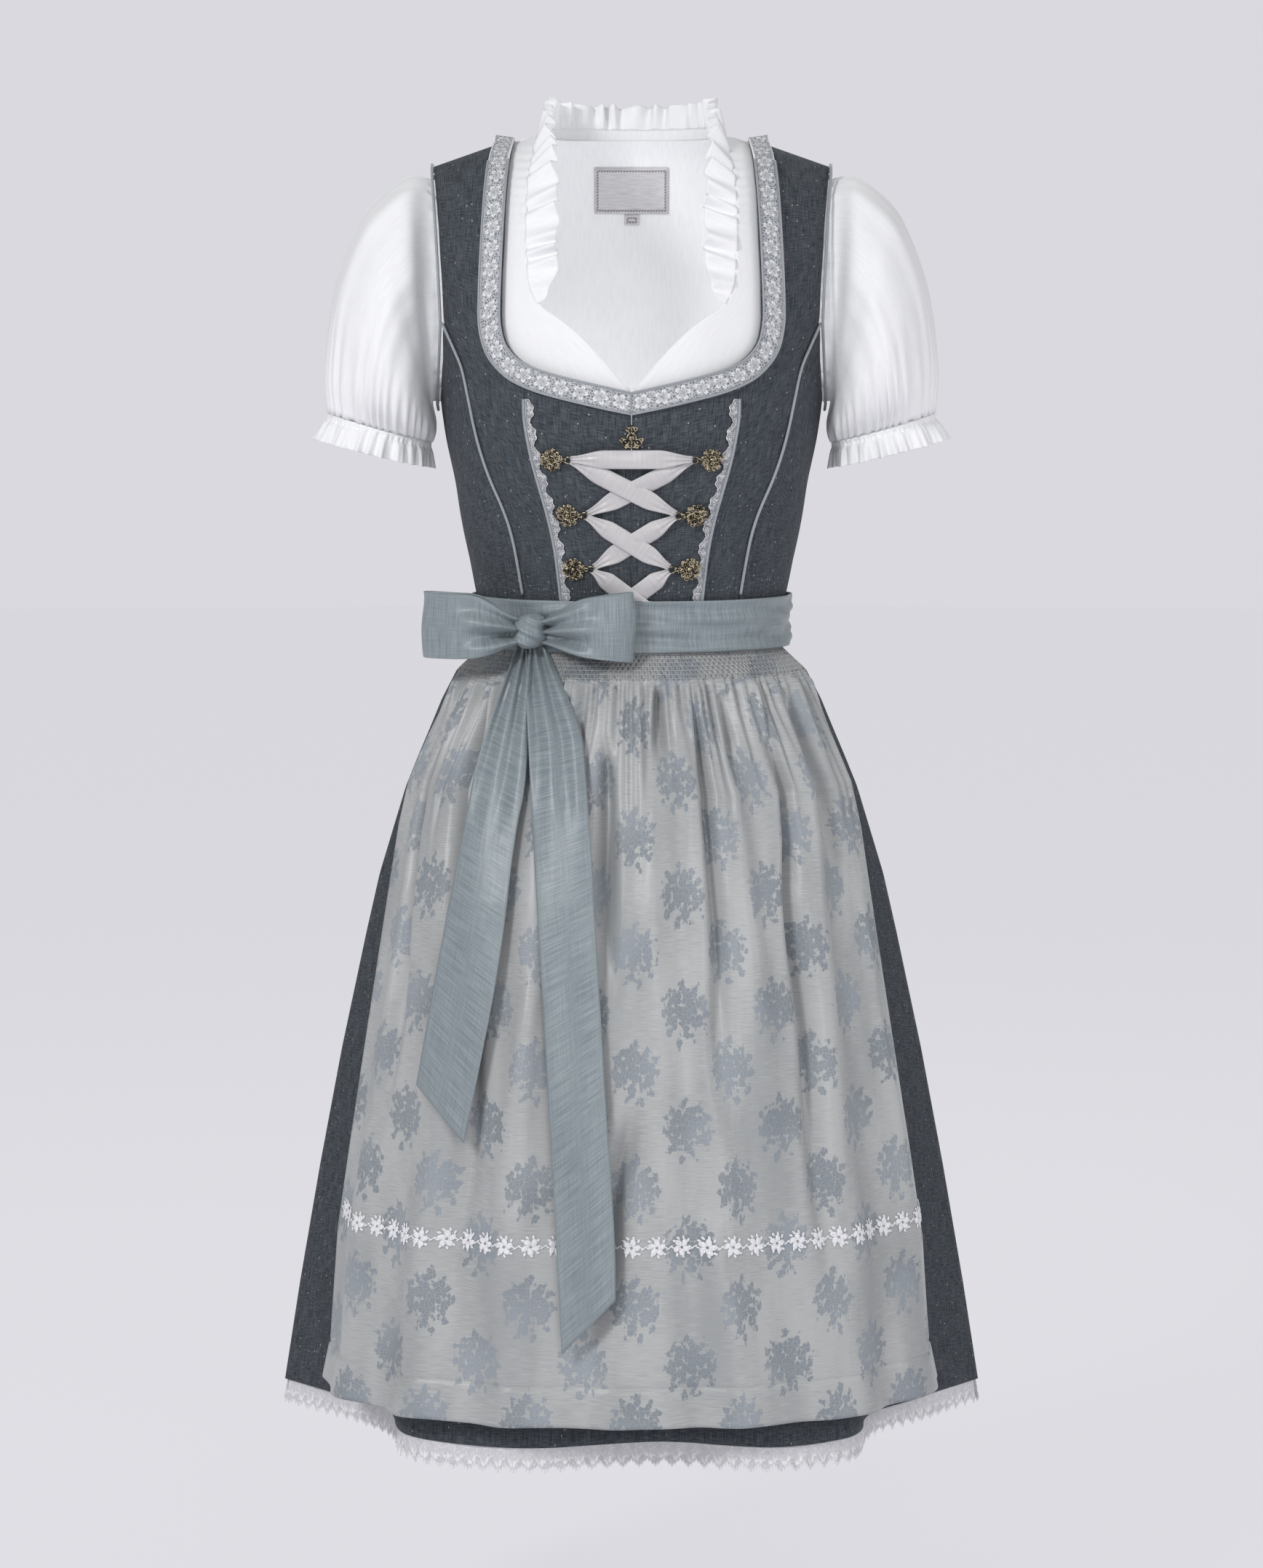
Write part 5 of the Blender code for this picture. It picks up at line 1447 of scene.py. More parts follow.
    def rings(self, table: Array, columns: int, rows: int, frilled: bool) -> Array:
        """Rings down a sleeve or cuff with its gathers.

        Args:
            table: The rings.
            columns: Points round.
            rows: Rings made.
            frilled: Whether it is the cuff's frill.

        Returns:
            The closed grid.
        """
        stops = np.linspace(0.0, 1.0, len(table))
        share = np.linspace(0.0, 1.0, rows)
        line = np.stack([self.flow(share, stops, table[:, k]) for k in range(table.shape[1])], axis=1)
        ox, oz, ix, iz, front, back, sink = (line[:, k][:, None] for k in range(7))
        turn = (np.arange(columns) * math.tau / columns)[None]
        c, s = np.cos(turn), np.sin(turn)
        depth = np.where(s > 0, front, back)
        uneven = turn + 0.10 * np.sin(3 * turn + 1.0) + 0.05 * np.sin(7 * turn + 2.0)
        part = share[:, None]
        if frilled:
            wave = np.cos(21 * uneven + 0.8 * np.sin(5 * turn) * part)
            neck = np.exp(-((part - 0.20) / 0.10) ** 2)
            swell = (0.080 * part ** 0.8 * wave * (0.75 + 0.25 * np.sin(4 * turn + 0.7))
                     + 0.020 * np.cos(47 * turn) * part - 0.040 * neck
                     + 0.022 * np.cos(60 * turn) * neck)
        else:
            head = smooth((0.26 - part) / 0.26)
            foot = smooth((part - 0.70) / 0.30)
            soft = ripples(turn / math.tau * 6, part * np.ones_like(turn), 31, 12, (0.4, 1.6), 0.5)
            long = np.cos(9 * uneven + 1.2 * np.sin(2 * turn)) + 0.6 * np.cos(17 * uneven + 2.0)
            swell = (0.042 * head * np.cos(30 * uneven) * smooth(part / 0.04)
                     + 0.038 * foot * np.cos(34 * uneven + 1.4)
                     + 0.012 * long * np.sin(part * math.pi) ** 0.5
                     + 0.026 * soft * np.sin(part * math.pi) ** 0.6)
        grow = 1.0 + swell
        x = (ox + ix) / 2 + (ox - ix) / 2 * c * grow - sink * s ** 2
        z = (oz + iz) / 2 + (oz - iz) / 2 * c * grow
        return np.stack([x, -depth * s * grow, z], axis=2)

    def flow(self, share: Array, stops: Array, values: Array) -> Array:
        """A smooth curve through values at stops (Hermite, with slopes from the neighbours)."""
        slope = np.gradient(values, stops)
        at = np.clip(np.searchsorted(stops, share, side="right") - 1, 0, len(stops) - 2)
        gap = stops[at + 1] - stops[at]
        t = (share - stops[at]) / gap
        return ((2 * t ** 3 - 3 * t ** 2 + 1) * values[at] + (t ** 3 - 2 * t ** 2 + t) * gap * slope[at]
                + (3 * t ** 2 - 2 * t ** 3) * values[at + 1] + (t ** 3 - t ** 2) * gap * slope[at + 1])

    def frill(self, panel: Array, w: Wardrobe) -> None:
        """The neck frill: down a front edge, standing round the back, down the other."""
        seam, free = [], []
        table = self.frill_front
        for edge, beside in panel[::3, [0, 3]]:
            if edge[2] < table[0, 0]:
                continue
            inwards, upwards, forwards = (np.interp(edge[2], table[:, 0], table[:, k]) for k in (1, 2, 3))
            base = edge - unit(edge - beside) * 0.0012 - (0.0, 0.0010, 0.0)
            seam.append(base)
            free.append(base + (-inwards, -forwards, upwards))
        for angle in np.radians([12, 20, 30, 42, 52, 62, 75, 90]):
            c, s = math.cos(angle), math.sin(angle)
            seam.append((self.neck_half * c, 0.003 + self.neck_depth * s, self.band_high + 0.0006))
            free.append((self.neck_half * 0.97 * c, 0.002 + (self.neck_depth + 0.008) * s,
                         0.0385 - 0.006 * s))
        columns = self.frill_waves * 14 + 1
        halves = []
        for curve in (seam, free):
            own = softened(curve, 2)
            halves.append(along(np.concatenate([own, own[::-1][1:] * (-1.0, 1.0, 1.0)]), columns))
        seam_line, free_line = halves
        reach = free_line - seam_line
        sideways = unit(np.cross(np.gradient(seam_line, axis=0), reach))
        phase = np.linspace(0.0, self.frill_waves * math.tau, columns)
        uneven = phase + 1.1 * np.sin(phase / 5.3) + 0.8 * np.sin(phase / 2.7 + 1.0)
        part = np.linspace(0.0, 1.0, 15)[:, None, None]
        lean = uneven[None, :, None] + 0.7 * part * np.sin(phase / 3.1)[None, :, None]
        ends = smooth(np.minimum(np.arange(columns), np.arange(columns)[::-1]) / 18.0)[None, :, None]
        depth = (0.0012 + 0.0046 * part ** 0.8) * ends * (0.8 + 0.3 * np.sin(phase / 2.3))[None, :, None]
        points = (seam_line[None] + reach[None] * part + sideways[None] * np.sin(lean) * depth
                  + reach[None] * 0.05 * part * np.sin(phase / 2.1 + 0.7)[None, :, None])
        Cloth("neck_frill_cloth", points, "blouse_cotton", "blouse_cotton", (0.90, 0.027),
              Held.GATHERED, ("neck_frill",), wall=FINE_WALL).make(w)

    def labels(self, back: Array, w: Wardrobe) -> None:
        """The woven label inside the back neck and the size tab under it, both without words."""
        order = back[:, np.argsort(back[0, :, 0])]
        for name, ((left, right), (low, high)) in (("neck_label", ((-0.0313, 0.0313), (-0.0565, -0.0185))),
                                                   ("size_tab", ((-0.0060, 0.0065), (-0.0660, -0.0572)))):
            points = []
            for z in np.linspace(low, high, 12):
                row = []
                for x in np.linspace(right, left, 20):
                    heights = [np.interp(x, line[:, 0], line[:, 2]) for line in order]
                    depths = [np.interp(x, line[:, 0], line[:, 1]) for line in order]
                    row.append((x, float(np.interp(z, heights, depths)) - 0.0018, z))
                points.append(row)
            size = (right - left, high - low)
            Cloth(f"{name}_cloth", np.array(points), name, "label_weave", (size[0], max(size[1], 0.0101)),
                  woven=size, area=size[0] * size[1], nodes=(name,), wall=FINE_WALL).make(w)


@dataclass
class Skirt:
    """The gathered skirt and the lace under its hem."""

    hem: float = -1.0395
    lace_low: float = -1.0595
    lace_high: float = -1.030
    lace_inside: float = 0.0020
    lace_points: int = 66
    # Height and half width at the side seams
    sides: Array = field(default_factory=lambda: np.array([
        (-1.0595, 0.2965), (-1.0395, 0.2942), (-0.955, 0.2807), (-0.855, 0.2631), (-0.755, 0.2439),
        (-0.656, 0.2225), (-0.607, 0.2112), (-0.558, 0.1963), (-0.5335, 0.1888), (-0.509, 0.1789),
        (-0.4846, 0.1685), (-0.460, 0.1583), (-0.4358, 0.1458), (-0.4160, 0.1250), (-0.3925, 0.1244),
    ]))
    # The hem's folds across the front: distance, depth
    hem_front: Curve2 = (
        (-0.2942, 0.0), (-0.219, -0.083), (-0.194, -0.120), (-0.1905, -0.172), (-0.175, -0.202),
        (-0.137, -0.222), (-0.082, -0.238), (-0.027, -0.222), (0.029, -0.2085), (0.083, -0.229),
        (0.1195, -0.233), (0.157, -0.215), (0.186, -0.190), (0.193, -0.120), (0.240, -0.068),
        (0.2942, 0.0),
    )
    back_depth: float = 0.205
    back_folds: int = 8
    fold_sway: float = 0.010
    gathers: int = 26
    # How deep the tucks, their sinking and the soft folds are, and the front's greatest depth
    tuck: float = 0.0021
    sink: float = 0.0015
    soft_fold: float = 0.0022
    under_apron: float = 0.0009
    past_apron: float = 0.0014
    lace_columns: int = 1201
    lace_point: float = 0.0058
    lace_flutter: float = 0.0012

    def spread(self, z: Any) -> Any:
        """How far the skirt has opened at a height, 0 at the waist to 1 at the hem."""
        half = np.interp(z, self.sides[:, 0], self.sides[:, 1])
        return (half - self.sides[-1, 1]) / (self.sides[1, 1] - self.sides[-1, 1])

    def rings(self, heights: Array, front: bool, columns: int) -> Array:
        """Half sections of the skirt at heights.

        Args:
            heights: The heights, upwards.
            front: Whether it is the front half.
            columns: Points across.

        Returns:
            The grid.
        """
        _, depth_front, depth_back = TORSO.size(WAIST_SEAM)
        half = self.sides[-1, 1]
        turn = np.linspace(-math.pi / 2, math.pi / 2, columns)
        if front:
            hem = along(softened(self.hem_front, 3), columns)
            oval = np.stack([half * np.sin(turn), -depth_front * np.cos(turn)], axis=1)
        else:
            turn = -turn
            oval = np.stack([half * np.sin(turn), depth_back * np.cos(turn)], axis=1)
            sway = 1.0 + self.fold_sway / self.back_depth * np.cos(turn * 2 * self.back_folds)
            hem = np.stack([self.sides[1, 1] * np.sin(turn), self.back_depth * np.cos(turn) * sway],
                           axis=1)
        spread = self.spread(heights)[:, None, None]
        flat = oval[None] * (1 - spread) + hem[None] * spread
        near = flat[..., 1]
        flat[..., 1] = np.minimum(near, 0.0) if front else np.maximum(near, 0.0)
        return np.concatenate([flat, np.broadcast_to(heights[:, None, None], (*flat.shape[:2], 1))],
                              axis=2)

    def build(self, w: Wardrobe) -> None:
        """Builds the skirt's halves and their lace."""
        heights = np.concatenate([np.linspace(self.hem, -0.50, 84), np.linspace(-0.496, -0.3924, 34)])
        for name, front, columns in (("front", True, 200), ("back", False, 196)):
            points = self.rings(heights, front, columns)
            share = np.linspace(0.0, 1.0, columns)[None]
            fall = smooth((heights + 0.70) / 0.28)[:, None]
            pin = smooth((-0.392 - heights) / 0.03)[:, None]
            edge = smooth(np.minimum(share, 1 - share) * 12.0)
            uneven = share + 0.006 * np.sin(share * 37.0) + 0.004 * np.sin(share * 61.0 + 1.0)
            tuck = np.cos(uneven * self.gathers * math.tau) * fall * (0.35 + 0.65 * pin)
            soft = ripples(share * 9.0, heights[:, None] * 2.0, 41 if front else 42, 10, (0.4, 1.3), 0.7)
            below = smooth((-0.42 - heights) / 0.1)[:, None]
            out = edge * (self.tuck * tuck - self.sink * fall + self.soft_fold * soft * below)
            if front:
                beside = smooth((np.abs(share * 2 - 1) - 0.74) / 0.1)
                out = np.minimum(out, self.under_apron + self.past_apron * beside)
            shown = moved_out(points, out)
            Cloth(f"skirt_{name}_cloth", shown, "chambray", "chambray", (0.98, 0.66),
                  Held.GATHERED, (f"skirt_{name}",), area=0.47).make(w)
            self.lace(name, front, w)

    def lace(self, name: str, front: bool, w: Wardrobe) -> None:
        """The lace edging under one half of the hem."""
        heights = np.linspace(self.lace_low, self.lace_high, 9)
        points = moved_out(self.rings(heights, front, self.lace_columns), -self.lace_inside)
        share = np.linspace(0.0, 1.0, self.lace_columns)
        kept = (share > 0.004) & (share < 0.996)
        points, share = points[:, kept], share[kept]
        points_down = np.abs((share * self.lace_points) % 1.0 - 0.5) * 2.0
        picots = 0.0008 * np.cos(share * self.lace_points * 5 * math.tau)
        rise = (self.lace_point * points_down ** 1.2 + picots)[None]
        drop = np.linspace(1.0, 0.0, len(heights))[:, None] ** 1.5
        points[..., 2] += rise * drop
        flutter = self.lace_flutter * np.sin(share * 120 * math.pi + 0.6 * np.sin(share * 31))[None]
        points = moved_out(points, flutter * drop)
        Cloth(f"hem_lace_{name}_cloth", points, "hem_lace", "lace", (0.90, 0.0295), Held.HUNG,
              (f"hem_lace_{name}",), wall=FINE_WALL).make(w)


@dataclass
class Apron:
    """The apron: smocked head, gathers, folds, hem and the embroidered flower chain."""

    # Height and half width at its side edges
    sides: Array = field(default_factory=lambda: np.array([
        (-1.016, 0.2570), (-0.985, 0.2503), (-0.893, 0.2442), (-0.817, 0.2326), (-0.619, 0.2010),
        (-0.560, 0.1917), (-0.5235, 0.1835), (-0.4867, 0.1680), (-0.4312, 0.1430),
        (-0.4150, 0.1245), (-0.392, 0.1225),
    ]))
    low: float = -1.016
    top: float = -0.393
    smocked: tuple[float, float] = (-0.430, -0.398)
    out: float = 0.0034
    hem_depth: float = 0.268
    hem_width: float = 0.275
    folds: int = 7
    fold_sway: float = 0.0045
    gathers: int = 44
    # Listed folds: share across at its top and foot, height of both, depth, half width in shares
    creases: Array = field(default_factory=lambda: np.array([
        (0.26, 0.27, -0.440, -0.830, -0.0058, 0.030), (0.56, 0.53, -0.440, -0.980, -0.0062, 0.034),
        (-0.10, -0.06, -0.470, -0.700, -0.0060, 0.035), (0.40, 0.36, -0.438, -0.530, -0.0042, 0.030),
        (0.12, 0.10, -0.438, -0.520, -0.0046, 0.032), (-0.66, -0.60, -0.440, -0.720, -0.0055, 0.040),
        (-0.86, -0.80, -0.440, -0.900, -0.0050, 0.035), (0.78, 0.76, -0.440, -0.640, -0.0045, 0.035),
        (0.02, 0.10, -0.450, -0.760, 0.0048, 0.050), (0.34, 0.42, -0.450, -0.900, 0.0050, 0.055),
        (0.66, 0.66, -0.450, -0.800, 0.0045, 0.050), (-0.30, -0.34, -0.640, -0.990, 0.0045, 0.060),
        (-0.50, -0.46, -0.600, -1.000, -0.0045, 0.050), (0.00, -0.14, -0.760, -1.010, -0.0045, 0.050),
        (0.86, 0.88, -0.600, -1.000, 0.0035, 0.035), (0.18, 0.30, -0.840, -1.010, 0.0040, 0.050),
    ]))
    # How deep the gathers, the folds they sway in and the long soft folds are
    gather: float = 0.0030
    gather_sway: float = 0.0034
    long_fold: float = 0.0030
    trough: float = 3.0
    hem_fold: float = -0.9845
    cut: tuple[float, float] = (0.80, 0.62)
    flower_height: float = -0.875
    flowers: int = 31

    def size(self, z: Any, skirt: Skirt) -> tuple[Any, Any, Any, Any]:
        """Half width, depth, squareness and spread of the apron's section at a height."""
        start = skirt.spread(-0.416)
        spread = np.clip((skirt.spread(z) - start) / (1.0 - start), 0.0, 1.0)
        half, depth, _ = TORSO.size(WAIST_SEAM)
        half, depth = half + self.out, depth + self.out
        return (half + (self.hem_width - half) * spread ** 0.8,
                depth + (self.hem_depth - depth) * spread ** 0.9, 2.0 + 0.5 * spread, spread)

    def depth(self, x: Any, z: Any, skirt: Skirt, out: Any = 0.0) -> Any:
        """The depth of the apron's smooth surface at a distance and a height."""
        half, depth, square, _ = self.size(z, skirt)
        part = np.clip(np.abs(x) / (half + out), 0.0, 1.0)
        return -(depth + out) * (1.0 - part ** square) ** (1.0 / square)

    def surface(self, share: Array, z: Array, skirt: Skirt, detail: bool = True) -> Array:
        """Points of the apron at shares across and heights.

        Args:
            share: -1 at the right edge to 1 at the left.
            z: Heights, of the same shape.
            skirt: The skirt under it.
            detail: Whether gathers, smocking and creases are cut in.

        Returns:
            The points.
        """
        half, depth, square, spread = self.size(z, skirt)
        edge = np.interp(z, self.sides[:, 0], self.sides[:, 1])
        reach = np.arcsin(np.minimum(1.0, edge / half))
        x = half * np.sin(share * reach)
        out = self.fold_sway * spread * np.cos(share * math.pi * self.folds)
        if detail:
            uneven = share + 0.010 * np.sin(share * 19.0 + 0.4) + 0.006 * np.sin(share * 43.0)
            reach_down = 0.13 + 0.05 * np.sin(share * 23.0 + 1.0) + 0.03 * np.sin(share * 57.0)
            fall = smooth(1.0 - (self.smocked[0] - z) / reach_down)
            pleat = np.cos(uneven * math.pi * self.gathers)
            below = smooth((self.smocked[0] - z) / 0.012)
            long = ripples(share * 5.0, z * 0.9, 52, 8, (0.5, 1.5), 0.35)
            sway = self.gather * pleat + self.gather_sway * np.sin(uneven * 47.0 + 1.0)
            settled = smooth((self.smocked[0] - z) / 0.08)
            out = out + below * (fall * sway + self.long_fold * long * settled)
            for start, end, high, low, deep, wide in self.creases:
                down = np.clip((high - z) / (high - low), 0.0, 1.0)
                middle = start + (end - start) * down + 0.008 * np.sin(z * 31.0 + start * 9.0)
                spread_out = wide * (0.5 + 0.75 * down)
                strength = smooth(down * 6.0) * (1.0 - smooth((down - 0.45) / 0.55))
                deep = min(deep, deep * self.trough)
                out = out + deep * strength * np.exp(-((share - middle) / spread_out) ** 2)
            past_hem = (self.hem_fold - z) / 0.0012
            out = out + 0.0008 * smooth(past_hem) - 0.0007 * np.exp(-past_hem ** 2)
        corner = 0.007 * spread * np.abs(share) ** 6
        y = self.depth(x, z, skirt) - out * np.cos(share * reach)
        return np.stack([x + out * np.sin(share * reach), y, z + corner], axis=-1)

    def build(self, w: Wardrobe, skirt: Skirt) -> None:
        """Builds the apron and its flower chain."""
        heights = np.concatenate([np.linspace(self.low, -0.986, 9), np.linspace(-0.9845, -0.983, 3),
                                  np.linspace(-0.980, -0.560, 74), np.linspace(-0.556, -0.440, 38),
                                  np.linspace(-0.436, self.top, 11)])
        share, z = np.meshgrid(np.linspace(-1.0, 1.0, 290), heights)
        points = self.surface(share, z, skirt)
        piece = Cloth("apron_cloth", points, "jacquard", "jacquard", self.cut, Held.GATHERED,
                      ("apron",), area=0.43, rests_on=("skirt_front_cloth",)).make(w)
        across, up = shares(points)
        width = np.linalg.norm(np.diff(points, axis=1), axis=2).sum(axis=1)
        width = self.cut[0] * (width / width[0]) ** 0.8
        place = np.zeros(points.shape)
        place[..., 0] = (across[None] - 0.5) * width[:, None]
        place[..., 1] = up[:, None] * self.cut[1]
        spray = Jacquard().spray(place[..., 0], place[..., 1])
        piece.data.attributes.new("spray", "FLOAT", "POINT").data.foreach_set(
            "value", spray.ravel().astype(np.float32))
        piece.data.attributes.new("figure_place", "FLOAT_VECTOR", "POINT").data.foreach_set(
            "vector", place.ravel().astype(np.float32))
        self.flower_chain(skirt, w)

    def flower_chain(self, skirt: Skirt, w: Wardrobe) -> None:
        """The embroidered flowers and leaves across the apron, joined by a chain."""
        shapes: list[tuple[float, float, float, float, float]] = []
        pitch = 1.0 / self.flowers
        length = 0.600
        for k in range(self.flowers):
            middle = (k + 0.5) * pitch * length - length / 2
            spin = 0.35 * math.sin(k * 2.1)
            for petal in range(5):
                angle = spin + petal * math.tau / 5
                shapes.append((middle + 0.0042 * math.cos(angle), 0.0042 * math.sin(angle),
                               0.0030, 0.0023, angle + 0.5))
                angle += math.pi / 5
                shapes.append((middle + 0.0019 * math.cos(angle), 0.0019 * math.sin(angle),
                               0.0015, 0.0009, angle + 1.0))
            for angle in (0.75, 1.35, 1.95, 2.45, -0.75, -1.45, -2.15):
                shapes.append((middle + 0.0073 * math.cos(angle), 0.0073 * math.sin(angle) + 0.0004,
                               0.0018, 0.0010, angle + 0.4))
            for step, lift, lean in ((-0.0085, 0.0008, 0.5), (-0.0065, -0.0004, -0.4),
                                     (0.0065, 0.0004, -0.4), (0.0085, -0.0008, 0.5)):
                shapes.append((middle + step, lift, 0.0019, 0.0007, lean))
        verts: list[Array] = []
        faces: list[list[int]] = []
        ring, rings = 10, 3
        for across, up, long, wide, turn in shapes:
            start = len(verts)
            c, s = math.cos(turn), math.sin(turn)
            for level in range(rings + 1):
                size = (1.0, 0.92, 0.62, 0.0)[level]
                raised = (0.0, 0.62, 1.0, 1.0)[level] * 0.0009 * min(1.0, wide / 0.0014) + 0.0005
                for k in range(ring if level < rings else 1):
                    a = k * math.tau / ring
                    px, py = long * size * math.cos(a), wide * size * math.sin(a)
                    place = ((across + px * c - py * s) * 2 / length, up + px * s + py * c)
                    verts.append(np.array((*place, raised)))
            for level in range(rings - 1):
                for k in range(ring):
                    a, b = start + level * ring + k, start + level * ring + (k + 1) % ring
                    faces.append([a, b, b + ring, a + ring])
            last, tip = start + (rings - 1) * ring, start + rings * ring
            faces.extend([last + k, last + (k + 1) % ring, tip] for k in range(ring))
        flat = np.array(verts)
        z = self.flower_height + flat[:, 1]
        share = flat[:, 0] * 0.985
        step = 1e-3
        base = self.surface(share, z, skirt)
        across = self.surface(share + step, z, skirt) - base
        up = self.surface(share, z + step, skirt) - base
        points = base + unit(np.cross(across, up)) * flat[:, 2:3]
        piece = new_piece("apron_flower_chain", points, faces)
        corners = np.array([loop.vertex_index for loop in piece.data.loops])
        lay_flat(piece, np.stack([flat[corners, 0] * length / 2, flat[corners, 1]], axis=1))
        wear(piece, w["embroidery"], "blouse_cotton", ["apron_flower_trim"])


@dataclass
class Tie:
    """The apron's tie: the sash, the bow's loops and knot, and the tails."""

    out: float = 0.0064
    flare: float = 0.0022
    width: float = 0.050
    # Each loop's path in plan from the knot round its tip and back; distance, depth
    loop_paths: dict[Side, Curve2] = field(default_factory=lambda: {
        Side.RIGHT: ((-0.0946, -0.1025), (-0.112, -0.114), (-0.130, -0.116), (-0.148, -0.108),
                     (-0.162, -0.094), (-0.1710, -0.080), (-0.168, -0.070), (-0.152, -0.075),
                     (-0.133, -0.082), (-0.115, -0.088), (-0.0980, -0.0965)),
        Side.LEFT: ((-0.0694, -0.1025), (-0.054, -0.124), (-0.038, -0.136), (-0.020, -0.138),
                    (-0.006, -0.134), (0.003, -0.126), (-0.002, -0.1195), (-0.018, -0.1205),
                    (-0.036, -0.1185), (-0.052, -0.1120), (-0.0668, -0.1005)),
    })
    # Each loop's lower and upper edge at the knot, near it and at its tip
    loop_edges: dict[Side, tuple[tuple[float, ...], tuple[float, ...]]] = field(
        default_factory=lambda: {
            Side.RIGHT: ((-0.4070, -0.4180, -0.4195), (-0.3865, -0.3670, -0.3657)),
            Side.LEFT: ((-0.4060, -0.4150, -0.4203), (-0.3870, -0.3700, -0.3626)),
        })
    knot_at: tuple[float, float] = (-0.0820, -0.3965)
    knot_half: tuple[float, float, float] = (0.0142, 0.0110, 0.0142)
    tails: dict[Side, tuple[Curve2, Curve2]] = field(default_factory=lambda: {
        Side.RIGHT: (((-0.0930, -0.4100), (-0.1237, -0.4927), (-0.1306, -0.5296), (-0.1520, -0.6381),
                      (-0.1724, -0.7541)),
                     ((-0.0800, -0.4100), (-0.0832, -0.5104), (-0.0936, -0.5550), (-0.1024, -0.6374),
                      (-0.1155, -0.7097), (-0.1335, -0.7956))),
        Side.LEFT: (((-0.0860, -0.4100), (-0.0818, -0.5104), (-0.0734, -0.6359), (-0.0644, -0.7816),
                     (-0.0550, -0.9555)),
                    ((-0.0690, -0.4100), (-0.0396, -0.4697), (-0.0365, -0.4992), (-0.0317, -0.5737),
                     (-0.0276, -0.6366), (-0.0203, -0.7593), (-0.0124, -0.8715), (-0.0124, -0.9130))),
    })
    tail_out: float = 0.0062

    def build(self, w: Wardrobe, apron: Apron, skirt: Skirt) -> None:
        """Builds the tie."""
        self.sash(w)
        for side in Side:
            self.loop(side, w)
            self.tail(side, w, apron, skirt)
        self.knot(w)

    def sash(self, w: Wardrobe) -> None:
        """The band round the waist, creased along its length."""
        turn = np.arange(300) * math.tau / 300
        half, front, back = TORSO.size(WAIST_SEAM)
        heights = np.linspace(SASH_BOTTOM, SASH_TOP, 25)
        base = self.out + 0.0012 + np.interp(heights, (SASH_BOTTOM, WAIST_SEAM, SASH_TOP),
                                             (0.0004, 0.0, self.flare))
        v = (heights[:, None] - WAIST_SEAM) / 0.042
        drift = 0.16 * np.sin(turn * 2 + 0.5)[None] + 0.10 * np.sin(turn * 5 + 2.0)[None]
        crease = (0.0014 * np.sin((v + drift) * 11.0) + 0.0008 * np.sin((v - drift) * 21.0 + turn[None])
                  + 0.0008 * ripples(turn[None] * 1.3, v * 0.8, 61, 8, (0.3, 1.0)))
        out = base[:, None] + crease * (1.0 - (2 * np.abs(v)) ** 4 * 0.6)
        depth = np.where(np.cos(turn) >= 0, front, back)[None] + out
        points = np.stack([(half + out) * np.sin(turn)[None], -depth * np.cos(turn)[None],
                           np.broadcast_to(heights[:, None], out.shape)], axis=2)
        Cloth("sash_cloth_band", points, "sash_cloth", "sash_cloth", (0.78, self.width), Held.FOLDED,
              ("sash",), closed=True).make(w)

    def loop(self, side: Side, w: Wardrobe) -> None:
        """One loop of the bow, pleated into the knot."""
        path = along(softened(self.loop_paths[side], 3), 110)
        reach = np.abs(path[:, 0] - path[0, 0])
        part = np.clip(reach / reach.max(), 0.0, 1.0)
        low, high = (np.interp(part, (0.0, 0.35, 1.0), edge) for edge in self.loop_edges[side])
        low, high = (np.convolve(np.pad(edge, 8, "edge"), np.full(17, 1 / 17), "valid")
                     for edge in (low, high))
        share = np.linspace(0.0, 1.0, 41)[:, None]
        height = low[None] * (1 - share) + high[None] * share
        points = np.stack(np.broadcast_arrays(path[None, :, 0], path[None, :, 1], height), axis=2)
        steps = np.linspace(0.0, 1.0, 110)[None]
        pull = (1.0 - smooth(part * 1.5))[None]
        shown = smooth((0.62 - steps) / 0.16)
        pleat = (0.0068 * pull ** 0.8 * np.sin(share * 15.5 + side.value * 0.8)
                 + 0.0048 * pull ** 0.35 * np.sin(share * 8.5 + steps * 7.0 + 1.0)) * (0.3 + 0.7 * shown)
        soft = 0.0024 * ripples(share * 1.6, steps * 2.2, 71 + int(side.value), 8, (0.4, 1.2))
        bulge = 0.0022 * np.sin(share * math.pi) * np.sin(steps * math.pi)
        if side is Side.RIGHT:
            points, pleat, soft, bulge = (a[:, ::-1] for a in (points, pleat, soft, bulge))
        points = moved_out(points, (pleat + soft + bulge) * np.sin(share * math.pi) ** 0.4)
        Cloth(f"bow_loop_cloth_{side.tag}", points, "sash_cloth", "sash_cloth", (0.205, self.width),
              Held.FOLDED, (f"bow_loop_{side.tag}",)).make(w)

